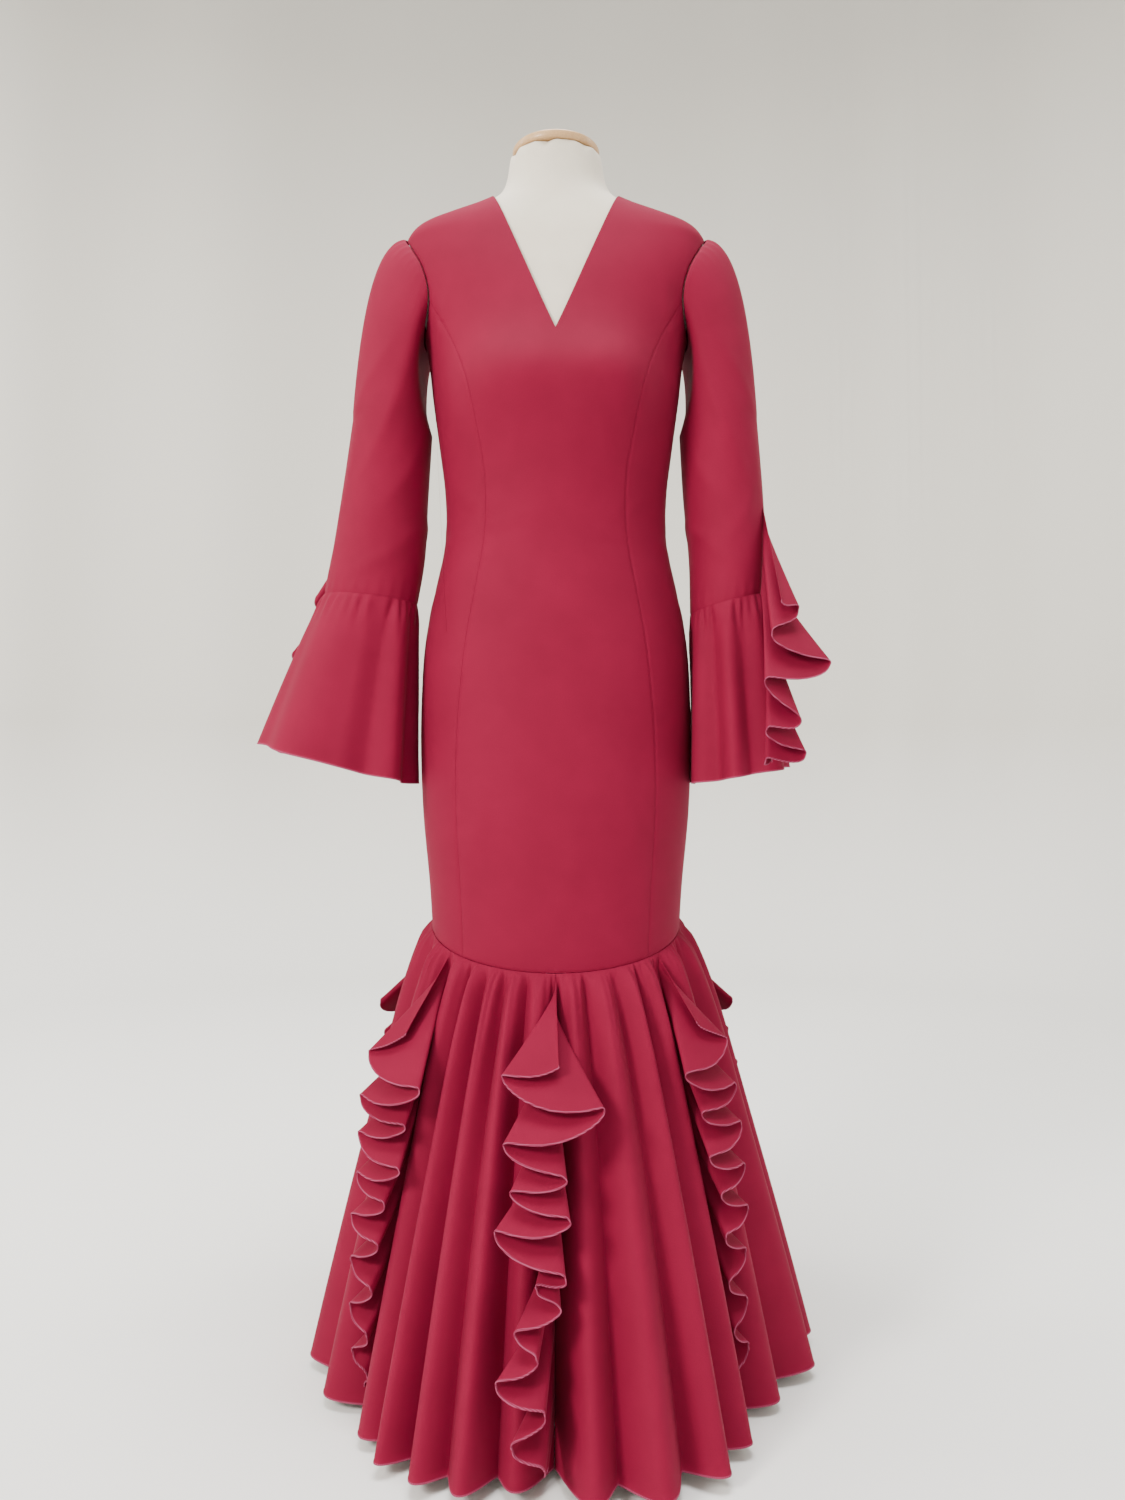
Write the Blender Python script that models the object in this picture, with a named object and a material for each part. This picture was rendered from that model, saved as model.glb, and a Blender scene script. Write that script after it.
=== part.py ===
"""A long-sleeved flamenco dress on a limbless dress form, as a maker would cut and sew it.

The bodice and hips are seven princess panels with a V neck and a concealed zip at the centre back.
Below a curved seam the skirt is six flared gores, and a cascade of zigzag ruffles hangs from each
of their six seams. The sleeves end in gathered bell flounces, each with a cascade of its own.
Metres, +Z up. The front faces -Y, and the origin is the centre of the stand's underside.
Azimuths are degrees about +Z, from the front (0) towards +X (90).
"""

import functools
import math

import bmesh
import bpy
import numpy as np

# Cloth and seams
CLOTH = 0.0015  # wall of the dress's crepe
RUFFLE_CLOTH = 0.0010  # wall of the single-layer ruffles
SEAM_GAP = 0.0003  # between neighbouring pieces
SKIRT_SEAM_GAP = 0.0007  # where the skirt's many short chords meet the body's few long ones
SEAM_HALF_DEG = 0.1  # what each panel is held back from its seam, as an azimuth

# Heights of the dress
HEM_HEIGHT = 0.013
SKIRT_SEAM_MEAN = 0.5175
SKIRT_SEAM_DIP = 0.041  # the seam is this much lower in front, and higher at the back
V_NECK_BOTTOM = 1.205
NECK_POINT = 1.401
NECK_POINT_X = 0.079
BACK_NECK = 1.374
PRINCESS_TOP = 1.262  # where the princess seams run into the armhole

# Armhole: an oval on the side of the figure
ARMHOLE_CENTRE = 1.290
ARMHOLE_HALF_HEIGHT = 0.062
ARMHOLE_HALF_DEG = 34.0

# Stand
BASE_RADIUS = 0.165
BASE_THICKNESS = 0.010
HUB_RADIUS = 0.024
HUB_TOP = 0.050
POLE_RADIUS = 0.0125
FORM_BOTTOM = 0.665
NECK_TOP = 1.455
NECK_CAP_PROFILE = ((0.050, 0), (0.0535, 0.003), (0.050, 0.007), (0.030, 0.009), (0, 0.010))  # radius, height
FLANGE_RADIUS, FLANGE_TAPER, FLANGE_RIM = 0.034, 0.030, 0.006  # under the torso, at the pole's top


class Table:
    """Rows of numbers with named columns, read along a smooth curve through the rows."""

    def __init__(self, columns, rows):
        self.names = columns.split()
        self.rows = np.array(rows, float)

    def column(self, name):
        return self.rows[:, self.names.index(name)]

    def at(self, where, name):
        """The named column where the first column has these values, on a cubic through the rows."""
        xs, ys = self.rows[:, 0], self.column(name)
        where = np.clip(np.asarray(where, float), xs[0], xs[-1])
        low = np.clip(np.searchsorted(xs, where, side="right") - 1, 0, len(xs) - 2)
        step = xs[low + 1] - xs[low]
        t = (where - xs[low]) / step
        slopes = np.gradient(ys, xs)
        return (
            (2 * t**3 - 3 * t**2 + 1) * ys[low]
            + (t**3 - 2 * t**2 + t) * step * slopes[low]
            + (3 * t**2 - 2 * t**3) * ys[low + 1]
            + (t**3 - t**2) * step * slopes[low + 1]
        )


# The figure under the dress. Below the form's bottom it is the line on which the cloth hangs.
# square flattens a section's sides, shift moves its centre along Y, and ease is the air
# between the figure and the cloth.
FIGURE = Table(
    "height half_width front back square shift ease",
    [
        (0.440, 0.1450, 0.1110, 0.1160, 0.000, 0.000, 0.0004),
        (0.560, 0.1515, 0.1130, 0.1220, 0.000, 0.000, 0.0004),
        (0.660, 0.1590, 0.1150, 0.1310, 0.000, 0.000, 0.0020),
        (0.790, 0.1610, 0.1130, 0.1360, 0.000, 0.000, 0.0020),
        (0.860, 0.1560, 0.1090, 0.1270, 0.000, 0.000, 0.0024),
        (0.920, 0.1430, 0.1020, 0.1090, 0.000, 0.000, 0.0040),
        (0.985, 0.1285, 0.0940, 0.0930, 0.000, 0.000, 0.0055),
        (1.040, 0.1305, 0.0970, 0.0920, 0.000, 0.000, 0.0040),
        (1.100, 0.1385, 0.1030, 0.0960, 0.010, 0.000, 0.0032),
        (1.155, 0.1460, 0.1070, 0.1010, 0.015, 0.000, 0.0032),
        (1.210, 0.1530, 0.1050, 0.1050, 0.025, 0.000, 0.0028),
        (1.260, 0.1640, 0.0980, 0.1040, 0.040, 0.001, 0.0024),
        (1.300, 0.1750, 0.0900, 0.0990, 0.055, 0.002, 0.0022),
        (1.332, 0.1815, 0.0820, 0.0910, 0.060, 0.002, 0.0016),
        (1.350, 0.1800, 0.0760, 0.0840, 0.060, 0.001, 0.0014),
        (1.362, 0.1690, 0.0715, 0.0780, 0.050, 0.000, 0.0013),
        (1.372, 0.1450, 0.0675, 0.0725, 0.040, -0.001, 0.0013),
        (1.383, 0.1140, 0.0635, 0.0670, 0.025, -0.002, 0.0015),
        (1.394, 0.0880, 0.0595, 0.0625, 0.010, -0.003, 0.0020),
        (1.406, 0.0700, 0.0565, 0.0580, 0.000, -0.004, 0.0020),
        (1.425, 0.0600, 0.0535, 0.0540, 0.000, -0.006, 0.0008),
        (1.455, 0.0570, 0.0520, 0.0530, 0.000, -0.009, 0.0008),
    ],
)
BUST_HEIGHT = 1.150
BUST_SIDE = 0.074
BUST_OUT = 0.024
BUST_SPREAD = 0.044
BUST_RISE = 0.052
BUST_CLEFT = 0.35  # how much more slowly it falls away towards the middle than to the side

# Princess seams: azimuth from the centre front, and from the centre back
PRINCESS = Table(
    "height front back",
    [
        (0.440, 46.0, 44.0),
        (0.700, 45.0, 42.0),
        (0.985, 38.0, 36.0),
        (1.100, 38.5, 40.0),
        (1.155, 41.5, 44.0),
        (1.210, 49.0, 51.0),
        (PRINCESS_TOP, 59.8, 59.8),
    ],
)

# Ridges and valleys of the hem, all the way round. The gore seams lie in the deep valleys.
HEM = Table(
    "azimuth radius",
    [
        (-180, 0.240), (-173, 0.306), (-166, 0.272), (-158, 0.318), (-151, 0.276),
        (-144, 0.314), (-137, 0.272), (-130, 0.304), (-120, 0.232), (-112, 0.298),
        (-105, 0.264), (-98, 0.300), (-91, 0.262), (-84, 0.292), (-75, 0.256),
        (-65, 0.282), (-55, 0.232), (-45, 0.284), (-40, 0.264), (-35.5, 0.306),
        (-31, 0.270), (-26, 0.313), (-21.5, 0.284), (-17, 0.314), (-12, 0.268),
        (-7.5, 0.294), (0, 0.244), (7, 0.318), (12.5, 0.284), (19, 0.330),
        (26, 0.286), (32, 0.320), (37, 0.276), (43, 0.294), (48, 0.262),
        (53, 0.232), (62, 0.278), (70, 0.254), (79, 0.306), (87, 0.270),
        (94, 0.314), (101, 0.272), (108, 0.308), (120, 0.232), (130, 0.302),
        (137, 0.270), (144, 0.314), (151, 0.276), (158, 0.320), (166, 0.274),
        (173, 0.308), (180, 0.240),
    ],
)
GORE_SEAMS = (-180, -120, -55, 0, 53, 120, 180)
SPREAD_POWER = 0.8  # how quickly the skirt leaves the hips
HEM_MEAN_RADIUS = 0.285
HEM_LIFT = 0.10  # how much a fold's hem rises for what it reaches beyond the mean
WAVE_STEPS = 3  # straight steps between a ridge and a valley
SKIRT_ROWS = (0.0, 0.06, 0.20, 0.50, 1.0)
GORE_HELD_DEG = 0.08  # what each gore is held back from its seams
GATHER_OUT = 0.0045  # how far the gathers stand proud just under the seam
GATHER_START, GATHER_PEAK, GATHER_FADE = 0.05, 0.096, 0.16  # as shares of the skirt's length

# Cascades. Each row is one fold's tip: how far down the seam its cloth is sewn, how far aside the
# tip lies (towards +azimuth), and how long the cloth is from the seam to the tip. Metres.
FRONT_CASCADE = Table(
    "root aside length",
    [
        (0.008, 0.004, 0.085), (0.023, -0.056, 0.098), (0.046, 0.052, 0.103),
        (0.074, -0.052, 0.108), (0.102, 0.012, 0.100), (0.122, -0.044, 0.101),
        (0.148, 0.016, 0.092), (0.172, -0.060, 0.098), (0.208, 0.012, 0.084),
        (0.228, -0.018, 0.073), (0.248, 0.006, 0.070), (0.270, -0.038, 0.078),
        (0.293, -0.016, 0.070), (0.319, -0.056, 0.084), (0.348, -0.008, 0.060),
        (0.376, -0.040, 0.070), (0.406, -0.009, 0.052), (0.438, -0.006, 0.032),
    ],
)
SIDE_CASCADE = Table(
    "root aside length",
    [
        (0.006, 0.004, 0.088), (0.018, -0.040, 0.110), (0.050, 0.054, 0.112),
        (0.076, -0.042, 0.102), (0.102, 0.036, 0.094), (0.124, -0.038, 0.092),
        (0.150, 0.040, 0.092), (0.176, -0.030, 0.080), (0.202, 0.024, 0.074),
        (0.226, -0.026, 0.072), (0.252, 0.022, 0.066), (0.280, -0.020, 0.061),
        (0.308, 0.018, 0.057), (0.336, -0.016, 0.053), (0.364, 0.015, 0.049),
        (0.392, -0.012, 0.043), (0.420, 0.008, 0.035), (0.444, -0.003, 0.026),
    ],
)
SKIRT_CASCADES = (  # name, gore seam, where it faces, table, side, scale, lift, detail
    ("cascade_front", 0, 0, FRONT_CASCADE, 1, 1.00, 0.34, "fine"),
    ("cascade_front_left", -55, -40, SIDE_CASCADE, 1, 0.98, 0.26, "coarse"),
    ("cascade_front_right", 53, 42, SIDE_CASCADE, -1, 0.82, 0.24, "coarse"),
    ("cascade_back_left", -120, -120, SIDE_CASCADE, 1, 0.92, 0.26, "coarse"),
    ("cascade_back_right", 120, 120, SIDE_CASCADE, -1, 0.90, 0.26, "coarse"),
    ("cascade_back", 180, 180, SIDE_CASCADE, -1, 1.12, 0.34, "coarse"),
)
CASCADE_STEPS = {"fine": (0.0, 0.12, 0.30, 0.70, 0.88), "coarse": (0.0, 0.17, 0.50, 0.83)}
FACE_FLATNESS = 0.075  # how much flatter the ruffles' faces are than a cosine's
CASCADE_CLEAR = 0.0026  # from the skirt's middle surface to the ruffle's
RISE = 0.16  # how much a fold rises for what it stands off
RIDGE_REACH = 1.2  # ridges this many times a fold's width away are still cleared
LEAST_FACING = 0.04  # a ruffle this edge-on to its own sideways direction grows no thicker
TURN_SHARE = 0.35  # how much of a fold's depth is made in its turns

# Sleeves from the biceps to the elbow seam. aside is the centre's distance from the middle.
SLEEVES = {
    "left": Table(
        "height aside centre_y half_x half_y",
        [
            (0.900, 0.2275, -0.012, 0.0570, 0.0500),
            (0.960, 0.2175, -0.006, 0.0560, 0.0540),
            (1.040, 0.2100, 0.000, 0.0520, 0.0600),
            (1.130, 0.2010, 0.002, 0.0480, 0.0650),
        ],
    ),
    "right": Table(
        "height aside centre_y half_x half_y",
        [
            (0.890, 0.2085, -0.018, 0.0450, 0.0520),
            (0.960, 0.2090, -0.010, 0.0460, 0.0550),
            (1.040, 0.2050, -0.002, 0.0480, 0.0600),
            (1.130, 0.1995, 0.002, 0.0470, 0.0650),
        ],
    ),
}
SLEEVE_AROUND = 20
SLEEVE_ROWS = (0.0, 0.18, 0.42, 0.70, 1.0, 1.5, 2.0)  # from the armhole by the biceps (1) to the elbow (2)
BICEPS_HEIGHT, BICEPS_TILT = 1.130, 0.012
HEAD_OUT, CAP_OUT = 0.014, 0.036  # how far the sleeve head stands out, and more over the shoulder
CAP_POWER = 0.7  # how evenly the shoulder's share goes round
CAP_UP, UNDERARM_DOWN = 0.004, 0.030
SLEEVE_SETTLED = 0.38  # the share of the head after which the body pushes the sleeve aside
ARMHOLE_OUT, ARMHOLE_OUT_DEG = 0.001, 0.6
BODY_CLEAR = 0.004

# Flounces. drop and lift shape the hem's tilt, and the folds go round from the outer side (0)
# through the front (90) and the body side (180). root_turn is where the ruffle is sewn at the hem
# and at its own top.
FLOUNCES = {
    "left": {
        "seam": 0.912, "seam_tilt": 0.006, "hem": 0.712, "hem_tilt": 0.024,
        "aside": 0.2640, "centre_y": -0.020, "half_x": 0.0920, "half_y": 0.0820,
        "folds": Table(
            "angle out",
            [
                (0, 0.004), (28, -0.006), (62, 0.005), (98, -0.004), (120, -0.010), (140, 0.009),
                (165, -0.008), (190, 0.006), (218, -0.008), (245, 0.008), (272, -0.007),
                (300, 0.008), (332, -0.006), (360, 0.004),
            ],
        ),
        "root_turn": (-54.0, -54.0), "facing": -58.0, "root_top": 1.075,
    },
    "right": {
        "seam": 0.905, "seam_tilt": 0.012, "hem": 0.698, "hem_tilt": 0.010,
        "aside": 0.2170, "centre_y": -0.030, "half_x": 0.0570, "half_y": 0.0800,
        "folds": Table(
            "angle out",
            [
                (0, 0.006), (24, -0.006), (52, 0.008), (82, -0.009), (104, 0.008), (126, -0.009),
                (150, 0.008), (178, -0.006), (206, 0.006), (236, -0.008), (266, 0.008),
                (298, -0.007), (330, 0.007), (360, 0.006),
            ],
        ),
        "root_turn": (72.0, 28.0), "facing": 66.0, "root_top": 1.022,
    },
}
FLOUNCE_ROWS = (0.0, 0.12, 0.50, 1.0)
FLOUNCE_POWER = 0.9  # how quickly a flounce leaves the elbow
FLOUNCE_FULLNESS = 0.30  # how much of each fold shows just under the elbow seam
FLOUNCE_SETTLED = 0.1
SLEEVE_CASCADES = {  # aside is to the front, and lift is how far a fold stands out for what it hangs
    "left": Table(
        "root aside length lift",
        [
            (0.000, 0.000, 0.078, 0.55), (0.026, -0.012, 0.088, 0.55), (0.056, 0.030, 0.100, 0.55),
            (0.090, -0.024, 0.098, 0.55), (0.122, 0.034, 0.104, 0.55), (0.158, -0.026, 0.098, 0.55),
            (0.194, 0.028, 0.098, 0.55), (0.230, -0.024, 0.090, 0.55), (0.264, 0.022, 0.080, 0.55),
            (0.292, -0.014, 0.060, 0.55), (0.314, 0.006, 0.044, 0.55),
        ],
    ),
    "right": Table(
        "root aside length lift",
        [
            (0.000, 0.012, 0.126, 0.42), (0.028, -0.016, 0.108, 0.42), (0.058, 0.024, 0.110, 0.42),
            (0.088, -0.055, 0.122, 0.42), (0.118, 0.032, 0.106, 0.42), (0.152, -0.014, 0.114, 0.42),
            (0.178, 0.026, 0.100, 0.42), (0.206, -0.030, 0.100, 0.42), (0.236, 0.018, 0.075, 0.42),
            (0.262, 0.002, 0.048, 0.42),
        ],
    ),
}
SLEEVE_CASCADE_CLEAR = 0.0013
SLEEVE_CASCADE_HEM_CLEAR = 0.012  # its lowest fold ends this far above the flounce's hem

# Zip at the centre back: slider, with an arched bail over it, and pull tab
ZIP_HEIGHT = 1.364
SLIDER_WIDTH, SLIDER_LENGTH, SLIDER_DEPTH = 0.0070, 0.0100, 0.0022
BAIL_WIDTH, BAIL_REACH, BAIL_BAR = 0.0014, 0.0068, 0.0010
BAIL_OPENING = 0.0024  # inside the arch, away from the cloth
TAB_DEPTH, TAB_BAR = 0.0010, 0.0011
TAB_WINDOW_WIDTH, TAB_WINDOW_LENGTH = 0.0022, 0.0040
TAB_OUTLINE = (  # distance from the hinge and half width there
    (-TAB_BAR / 2, 0.0022), (0.0050, 0.0024), (0.0100, 0.0020), (0.0170, 0.0026),
    (0.0215, 0.0030), (0.0245, 0.0026), (0.0260, 0.0012),
)

MATERIALS = {
    "crepe": ((0.42, 0.025, 0.070), 0.80, 0.0),
    "form_jersey": ((0.62, 0.56, 0.47), 0.90, 0.0),
    "cap_wood": ((0.55, 0.42, 0.28), 0.55, 0.0),
    "stand_steel": ((0.55, 0.55, 0.56), 0.35, 1.0),
    "zip_metal": ((0.45, 0.06, 0.10), 0.45, 0.6),
}


# Building solids


def material(name):
    """The named material, made once."""
    if name in bpy.data.materials:
        return bpy.data.materials[name]
    colour, roughness, metallic = MATERIALS[name]
    made = bpy.data.materials.new(name)
    made.use_nodes = True
    shader = made.node_tree.nodes["Principled BSDF"]
    shader.inputs["Base Color"].default_value = (*colour, 1.0)
    shader.inputs["Roughness"].default_value = roughness
    shader.inputs["Metallic"].default_value = metallic
    return made


def add_object(name, mesh, finish):
    made = bpy.data.objects.new(name, mesh)
    mesh.materials.append(material(finish))
    bpy.context.scene.collection.objects.link(made)
    return made


def surface_normals(surface, us, vs, step_u, step_v):
    """Unit normals of surface(u, v), from central differences."""
    along_u = surface(us + step_u, vs) - surface(us - step_u, vs)
    along_v = surface(us, vs + step_v) - surface(us, vs - step_v)
    normals = np.cross(along_u, along_v)
    return normals / np.linalg.norm(normals, axis=-1, keepdims=True)


def split(quad):
    """A quad's two triangles, cut along its shorter diagonal, so that both skins fold alike."""
    a, b, c, d = quad
    pair = ((a, b, c), (a, c, d)) if math.dist(a, c) <= math.dist(b, d) else ((a, b, d), (b, c, d))
    return [corners for corners in pair if len(set(corners)) == 3]


def cloth_wall(name, grids, finish, thickness, ring=False):
    """A closed wall about one or more grids of (points, normals), which join where they share points.

    A grid is an array of rows by columns; ring joins its last column to its first.
    """
    form = bmesh.new()
    sides = {+1: {}, -1: {}}  # the outer and the inner skin: place -> vertex
    quads = []
    for points, normals in grids:
        keys = [[tuple(np.round(p, 6)) for p in row] for row in points]
        for side, made in sides.items():
            for i, j in np.ndindex(points.shape[:2]):
                if keys[i][j] not in made:
                    made[keys[i][j]] = form.verts.new(points[i, j] + side * thickness / 2 * normals[i, j])
        rows, columns = points.shape[:2]
        for i in range(rows - 1):
            for j in range(columns if ring else columns - 1):
                k = (j + 1) % columns
                quads.append((keys[i][j], keys[i][k], keys[i + 1][k], keys[i + 1][j]))
    edges = {}
    for quad in quads:
        for corners in split(quad):
            form.faces.new([sides[+1][c] for c in corners])
            form.faces.new([sides[-1][c] for c in reversed(corners)])
            for pair in zip(corners, corners[1:] + corners[:1]):
                edges[pair] = True
    for a, b in edges:
        if (b, a) not in edges:
            form.faces.new([sides[+1][b], sides[+1][a], sides[-1][a], sides[-1][b]])
    bmesh.ops.recalc_face_normals(form, faces=form.faces)
    mesh = bpy.data.meshes.new(name)
    form.to_mesh(mesh)
    form.free()
    mesh.shade_smooth()
    mesh.set_sharp_from_angle(angle=math.radians(60))
    return add_object(name, mesh, finish)


def turned(name, profile, segments, finish):
    """A solid of revolution about Z from (radius, height) points, from the bottom axis point up."""
    form = bmesh.new()
    rings = []
    for radius, height in profile:
        if radius == 0:
            rings.append([form.verts.new((0, 0, height))])
            continue
        turns = (2 * math.pi * k / segments for k in range(segments))
        rings.append([form.verts.new((radius * math.cos(a), radius * math.sin(a), height)) for a in turns])
    for low, high in zip(rings, rings[1:]):
        for k in range(segments):
            ends = [low[k % len(low)], low[(k + 1) % len(low)], high[(k + 1) % len(high)], high[k % len(high)]]
            form.faces.new(list(dict.fromkeys(ends)))
    bmesh.ops.recalc_face_normals(form, faces=form.faces)
    mesh = bpy.data.meshes.new(name)
    form.to_mesh(mesh)
    form.free()
    mesh.shade_smooth()
    mesh.set_sharp_from_angle(angle=math.radians(35))
    return add_object(name, mesh, finish)


def waves(table, where, name, steps=WAVE_STEPS):
    """Ridges and valleys joined by half cosines, each drawn as this many straight steps."""
    xs, ys = table.rows[:, 0], table.column(name)
    low = np.clip(np.searchsorted(xs, where, side="right") - 1, 0, len(xs) - 2)
    t = np.clip((where - xs[low]) / (xs[low + 1] - xs[low]), 0, 1) * steps
    step = np.minimum(np.floor(t), steps - 1)
    before, after = ((1 - np.cos(np.pi * n / steps)) / 2 for n in (step, step + 1))
    return ys[low] + (ys[low + 1] - ys[low]) * (before + (after - before) * (t - step))


def wrapped(azimuth):
    """The same direction between -180 and 180."""
    return (np.asarray(azimuth, float) + 180) % 360 - 180


# The figure and the body of the dress


def figure(azimuth, height):
    """A point of the bare figure."""
    azimuth, height = np.broadcast_arrays(np.asarray(azimuth, float), np.asarray(height, float))
    angle = np.radians(azimuth)
    square = FIGURE.at(height, "square")
    aside = (1 + square) * np.sin(angle) + square * np.sin(3 * angle)
    ahead = (1 + square) * np.cos(angle) - square * np.cos(3 * angle)
    x = FIGURE.at(height, "half_width") * aside
    depth = np.where(ahead > 0, FIGURE.at(height, "front"), FIGURE.at(height, "back"))
    reach = np.abs(x) - BUST_SIDE
    reach = np.where(reach < 0, BUST_CLEFT * reach, reach) / BUST_SPREAD
    bust = BUST_OUT * np.exp(-(reach**2) - ((height - BUST_HEIGHT) / BUST_RISE) ** 2)
    y = FIGURE.at(height, "shift") - depth * ahead - bust * np.clip(3 * ahead, 0, 1)
    return np.stack([x, y, height], axis=-1)


def body(azimuth, height, beyond=0.0):
    """A point of the dress's middle surface over the figure, or beyond it."""
    azimuth, height = np.broadcast_arrays(np.asarray(azimuth, float), np.asarray(height, float))
    normals = surface_normals(figure, azimuth, height, 0.5, 0.001)
    gap = FIGURE.at(height, "ease") + CLOTH / 2 + beyond
    return figure(azimuth, height) + gap[..., None] * normals


def azimuth_at(x, height):
    """The azimuth between 0 and 90 at which the figure is this far aside."""
    azimuths = np.linspace(0, 90, 361)
    return np.interp(x, figure(azimuths, height)[:, 0], azimuths)


def armhole_azimuth(height):
    """The armhole's front edge, as an azimuth. Its back edge mirrors it about the side."""
    share = np.clip(1 - ((height - ARMHOLE_CENTRE) / ARMHOLE_HALF_HEIGHT) ** 2, 0, 1)
    return 90 - ARMHOLE_HALF_DEG * math.sqrt(share)


def skirt_seam(azimuth):
    """Height of the seam between body and skirt."""
    return SKIRT_SEAM_MEAN - SKIRT_SEAM_DIP * np.cos(np.radians(azimuth))


def panel_outer(height, which):
    """Azimuth, from the centre front or back, of a centre panel's outer edge."""
    if height < PRINCESS_TOP:
        return float(PRINCESS.at(height, which))
    if height < ARMHOLE_CENTRE + ARMHOLE_HALF_HEIGHT:
        return armhole_azimuth(height)
    return 90.0


def panel_inner(height, which):
    """Azimuth, from the centre front or back, of a centre panel's inner edge: 0 or the neckline."""
    if which == "front" and height > V_NECK_BOTTOM:
        x = NECK_POINT_X * (height - V_NECK_BOTTOM) / (NECK_POINT - V_NECK_BOTTOM)
        return float(azimuth_at(x, height))
    if which == "back" and height > BACK_NECK:
        x = NECK_POINT_X * math.sqrt((height - BACK_NECK) / (NECK_POINT - BACK_NECK))
        return float(azimuth_at(x, height))
    return 0.0


LOW_ROWS = (0.5175, 0.580, 0.645, 0.715, 0.790, 0.860, 0.920, 0.985, 1.045, 1.095, 1.128, 1.155, 1.180, V_NECK_BOTTOM)


def armhole_rows(*angles):
    """Heights at these angles round the armhole, from its lowest point (180) to its highest (0)."""
    return tuple(ARMHOLE_CENTRE + ARMHOLE_HALF_HEIGHT * math.cos(math.radians(a)) for a in angles)


ARM_ROWS = armhole_rows(180, 160, 140) + (PRINCESS_TOP,)
CHEST_ROWS = armhole_rows(90, 65, 45, 28, 13, 0)
TOP_ROWS = {
    "front": (1.3575, 1.364, 1.373, 1.385, NECK_POINT - 0.004),
    "back": (1.3575, 1.364, BACK_NECK, 1.381, 1.390, NECK_POINT - 0.003),
}
# Where each kind of panel has its columns, as shares of its width from the centre outwards
FRONT_COLUMNS = (0.0, 0.2, 0.4, 0.6, 0.8, 1.0)
BACK_COLUMNS = (0.0, 0.20, 0.40, 0.59, 0.755, 0.89, 1.0)
SIDE_COLUMNS = (0.0, 0.25, 0.5, 0.75, 1.0)
DIP_ENDS = 0.75  # above this height the rows are level


def panel_grid(rows, edges, shares):
    """Points and normals of a panel whose edges(height) gives its two azimuths."""
    starts, ends = np.array([edges(height) for height in rows]).T
    azimuths = starts[:, None] + (ends - starts)[:, None] * np.array(shares)
    heights = np.repeat(np.array(rows)[:, None], len(shares), axis=1)
    share = np.clip((DIP_ENDS - heights) / (DIP_ENDS - LOW_ROWS[0]), 0, 1)
    heights = heights + (skirt_seam(azimuths) + SKIRT_SEAM_GAP / 2 - LOW_ROWS[0]) * share
    normals = surface_normals(body, azimuths, heights, 0.5, 0.001)
    return body(azimuths, heights), normals


def make_front_centre():
    rows = LOW_ROWS + ARM_ROWS + CHEST_ROWS + TOP_ROWS["front"]
    grids = []
    for side in (-1, 1):

        def edges(height, side=side):
            return side * panel_inner(height, "front"), side * (panel_outer(height, "front") - SEAM_HALF_DEG)

        points, normals = panel_grid(rows, edges, FRONT_COLUMNS)
        grids.append((points, normals) if side > 0 else (points[:, ::-1], normals[:, ::-1]))
    cloth_wall("front_centre", grids, "crepe", CLOTH)


def make_back_centre(name, side):
    rows = LOW_ROWS + ARM_ROWS + CHEST_ROWS + TOP_ROWS["back"]

    def edges(height):
        inner = panel_inner(height, "back") + (SEAM_HALF_DEG if height <= BACK_NECK else 0)
        outer = panel_outer(height, "back") - SEAM_HALF_DEG
        return side * (180 - inner), side * (180 - outer)

    cloth_wall(name, [panel_grid(rows, edges, BACK_COLUMNS)], "crepe", CLOTH)


def make_side(name, which, side):
    rows = LOW_ROWS + ARM_ROWS

    def edges(height):
        seam = float(PRINCESS.at(height, which)) + SEAM_HALF_DEG
        edge = min(armhole_azimuth(height), 90 - SEAM_HALF_DEG)
        ends = (seam, max(edge, seam + 0.05))
        return [side * (a if which == "front" else 180 - a) for a in ends]

    cloth_wall(name, [panel_grid(rows, edges, SIDE_COLUMNS)], "crepe", CLOTH)


def make_body():
    make_front_centre()
    for side, word in ((-1, "left"), (1, "right")):
        make_back_centre(f"back_centre_{word}", side)
        make_side(f"front_side_{word}", "front", side)
        make_side(f"back_side_{word}", "back", side)


# Skirt


def skirt(azimuth, down):
    """A point of the skirt's middle surface, down from the seam (0) to the hem (1)."""
    azimuth, down = np.broadcast_arrays(np.asarray(azimuth, float), np.asarray(down, float))
    seam_height = skirt_seam(azimuth) - SKIRT_SEAM_GAP / 2
    top = body(azimuth, skirt_seam(azimuth))
    spread = np.clip(down, 0, None) ** SPREAD_POWER
    radius = waves(HEM, wrapped(azimuth), "radius")
    angle = np.radians(azimuth)
    lift = HEM_LIFT * (radius - HEM_MEAN_RADIUS) * down
    fade = np.exp(-(((down - GATHER_PEAK) / GATHER_FADE) ** 2)) * np.clip(down / GATHER_START, 0, 1)
    swell = GATHER_OUT * fade * waves(GATHERS, wrapped(azimuth), "out")
    x = top[..., 0] * (1 - spread) + radius * np.sin(angle) * spread + swell * np.sin(angle)
    y = top[..., 1] * (1 - spread) - radius * np.cos(angle) * spread - swell * np.cos(angle)
    z = seam_height + (HEM_HEIGHT - seam_height) * down + lift
    return np.stack([x, y, z], axis=-1)


def gathers():
    """Fullness under the seam: proud above each of the hem's ridges, and in above all else."""
    azimuths, radii = HEM.column("azimuth"), HEM.column("radius")
    before, after = np.roll(radii[:-1], 1), np.roll(radii[:-1], -1)
    signs = np.where((radii[:-1] > before) & (radii[:-1] > after), 1.0, -1.0)
    return Table("azimuth out", np.column_stack([azimuths, np.append(signs, signs[0])]))


GATHERS = gathers()


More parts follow.
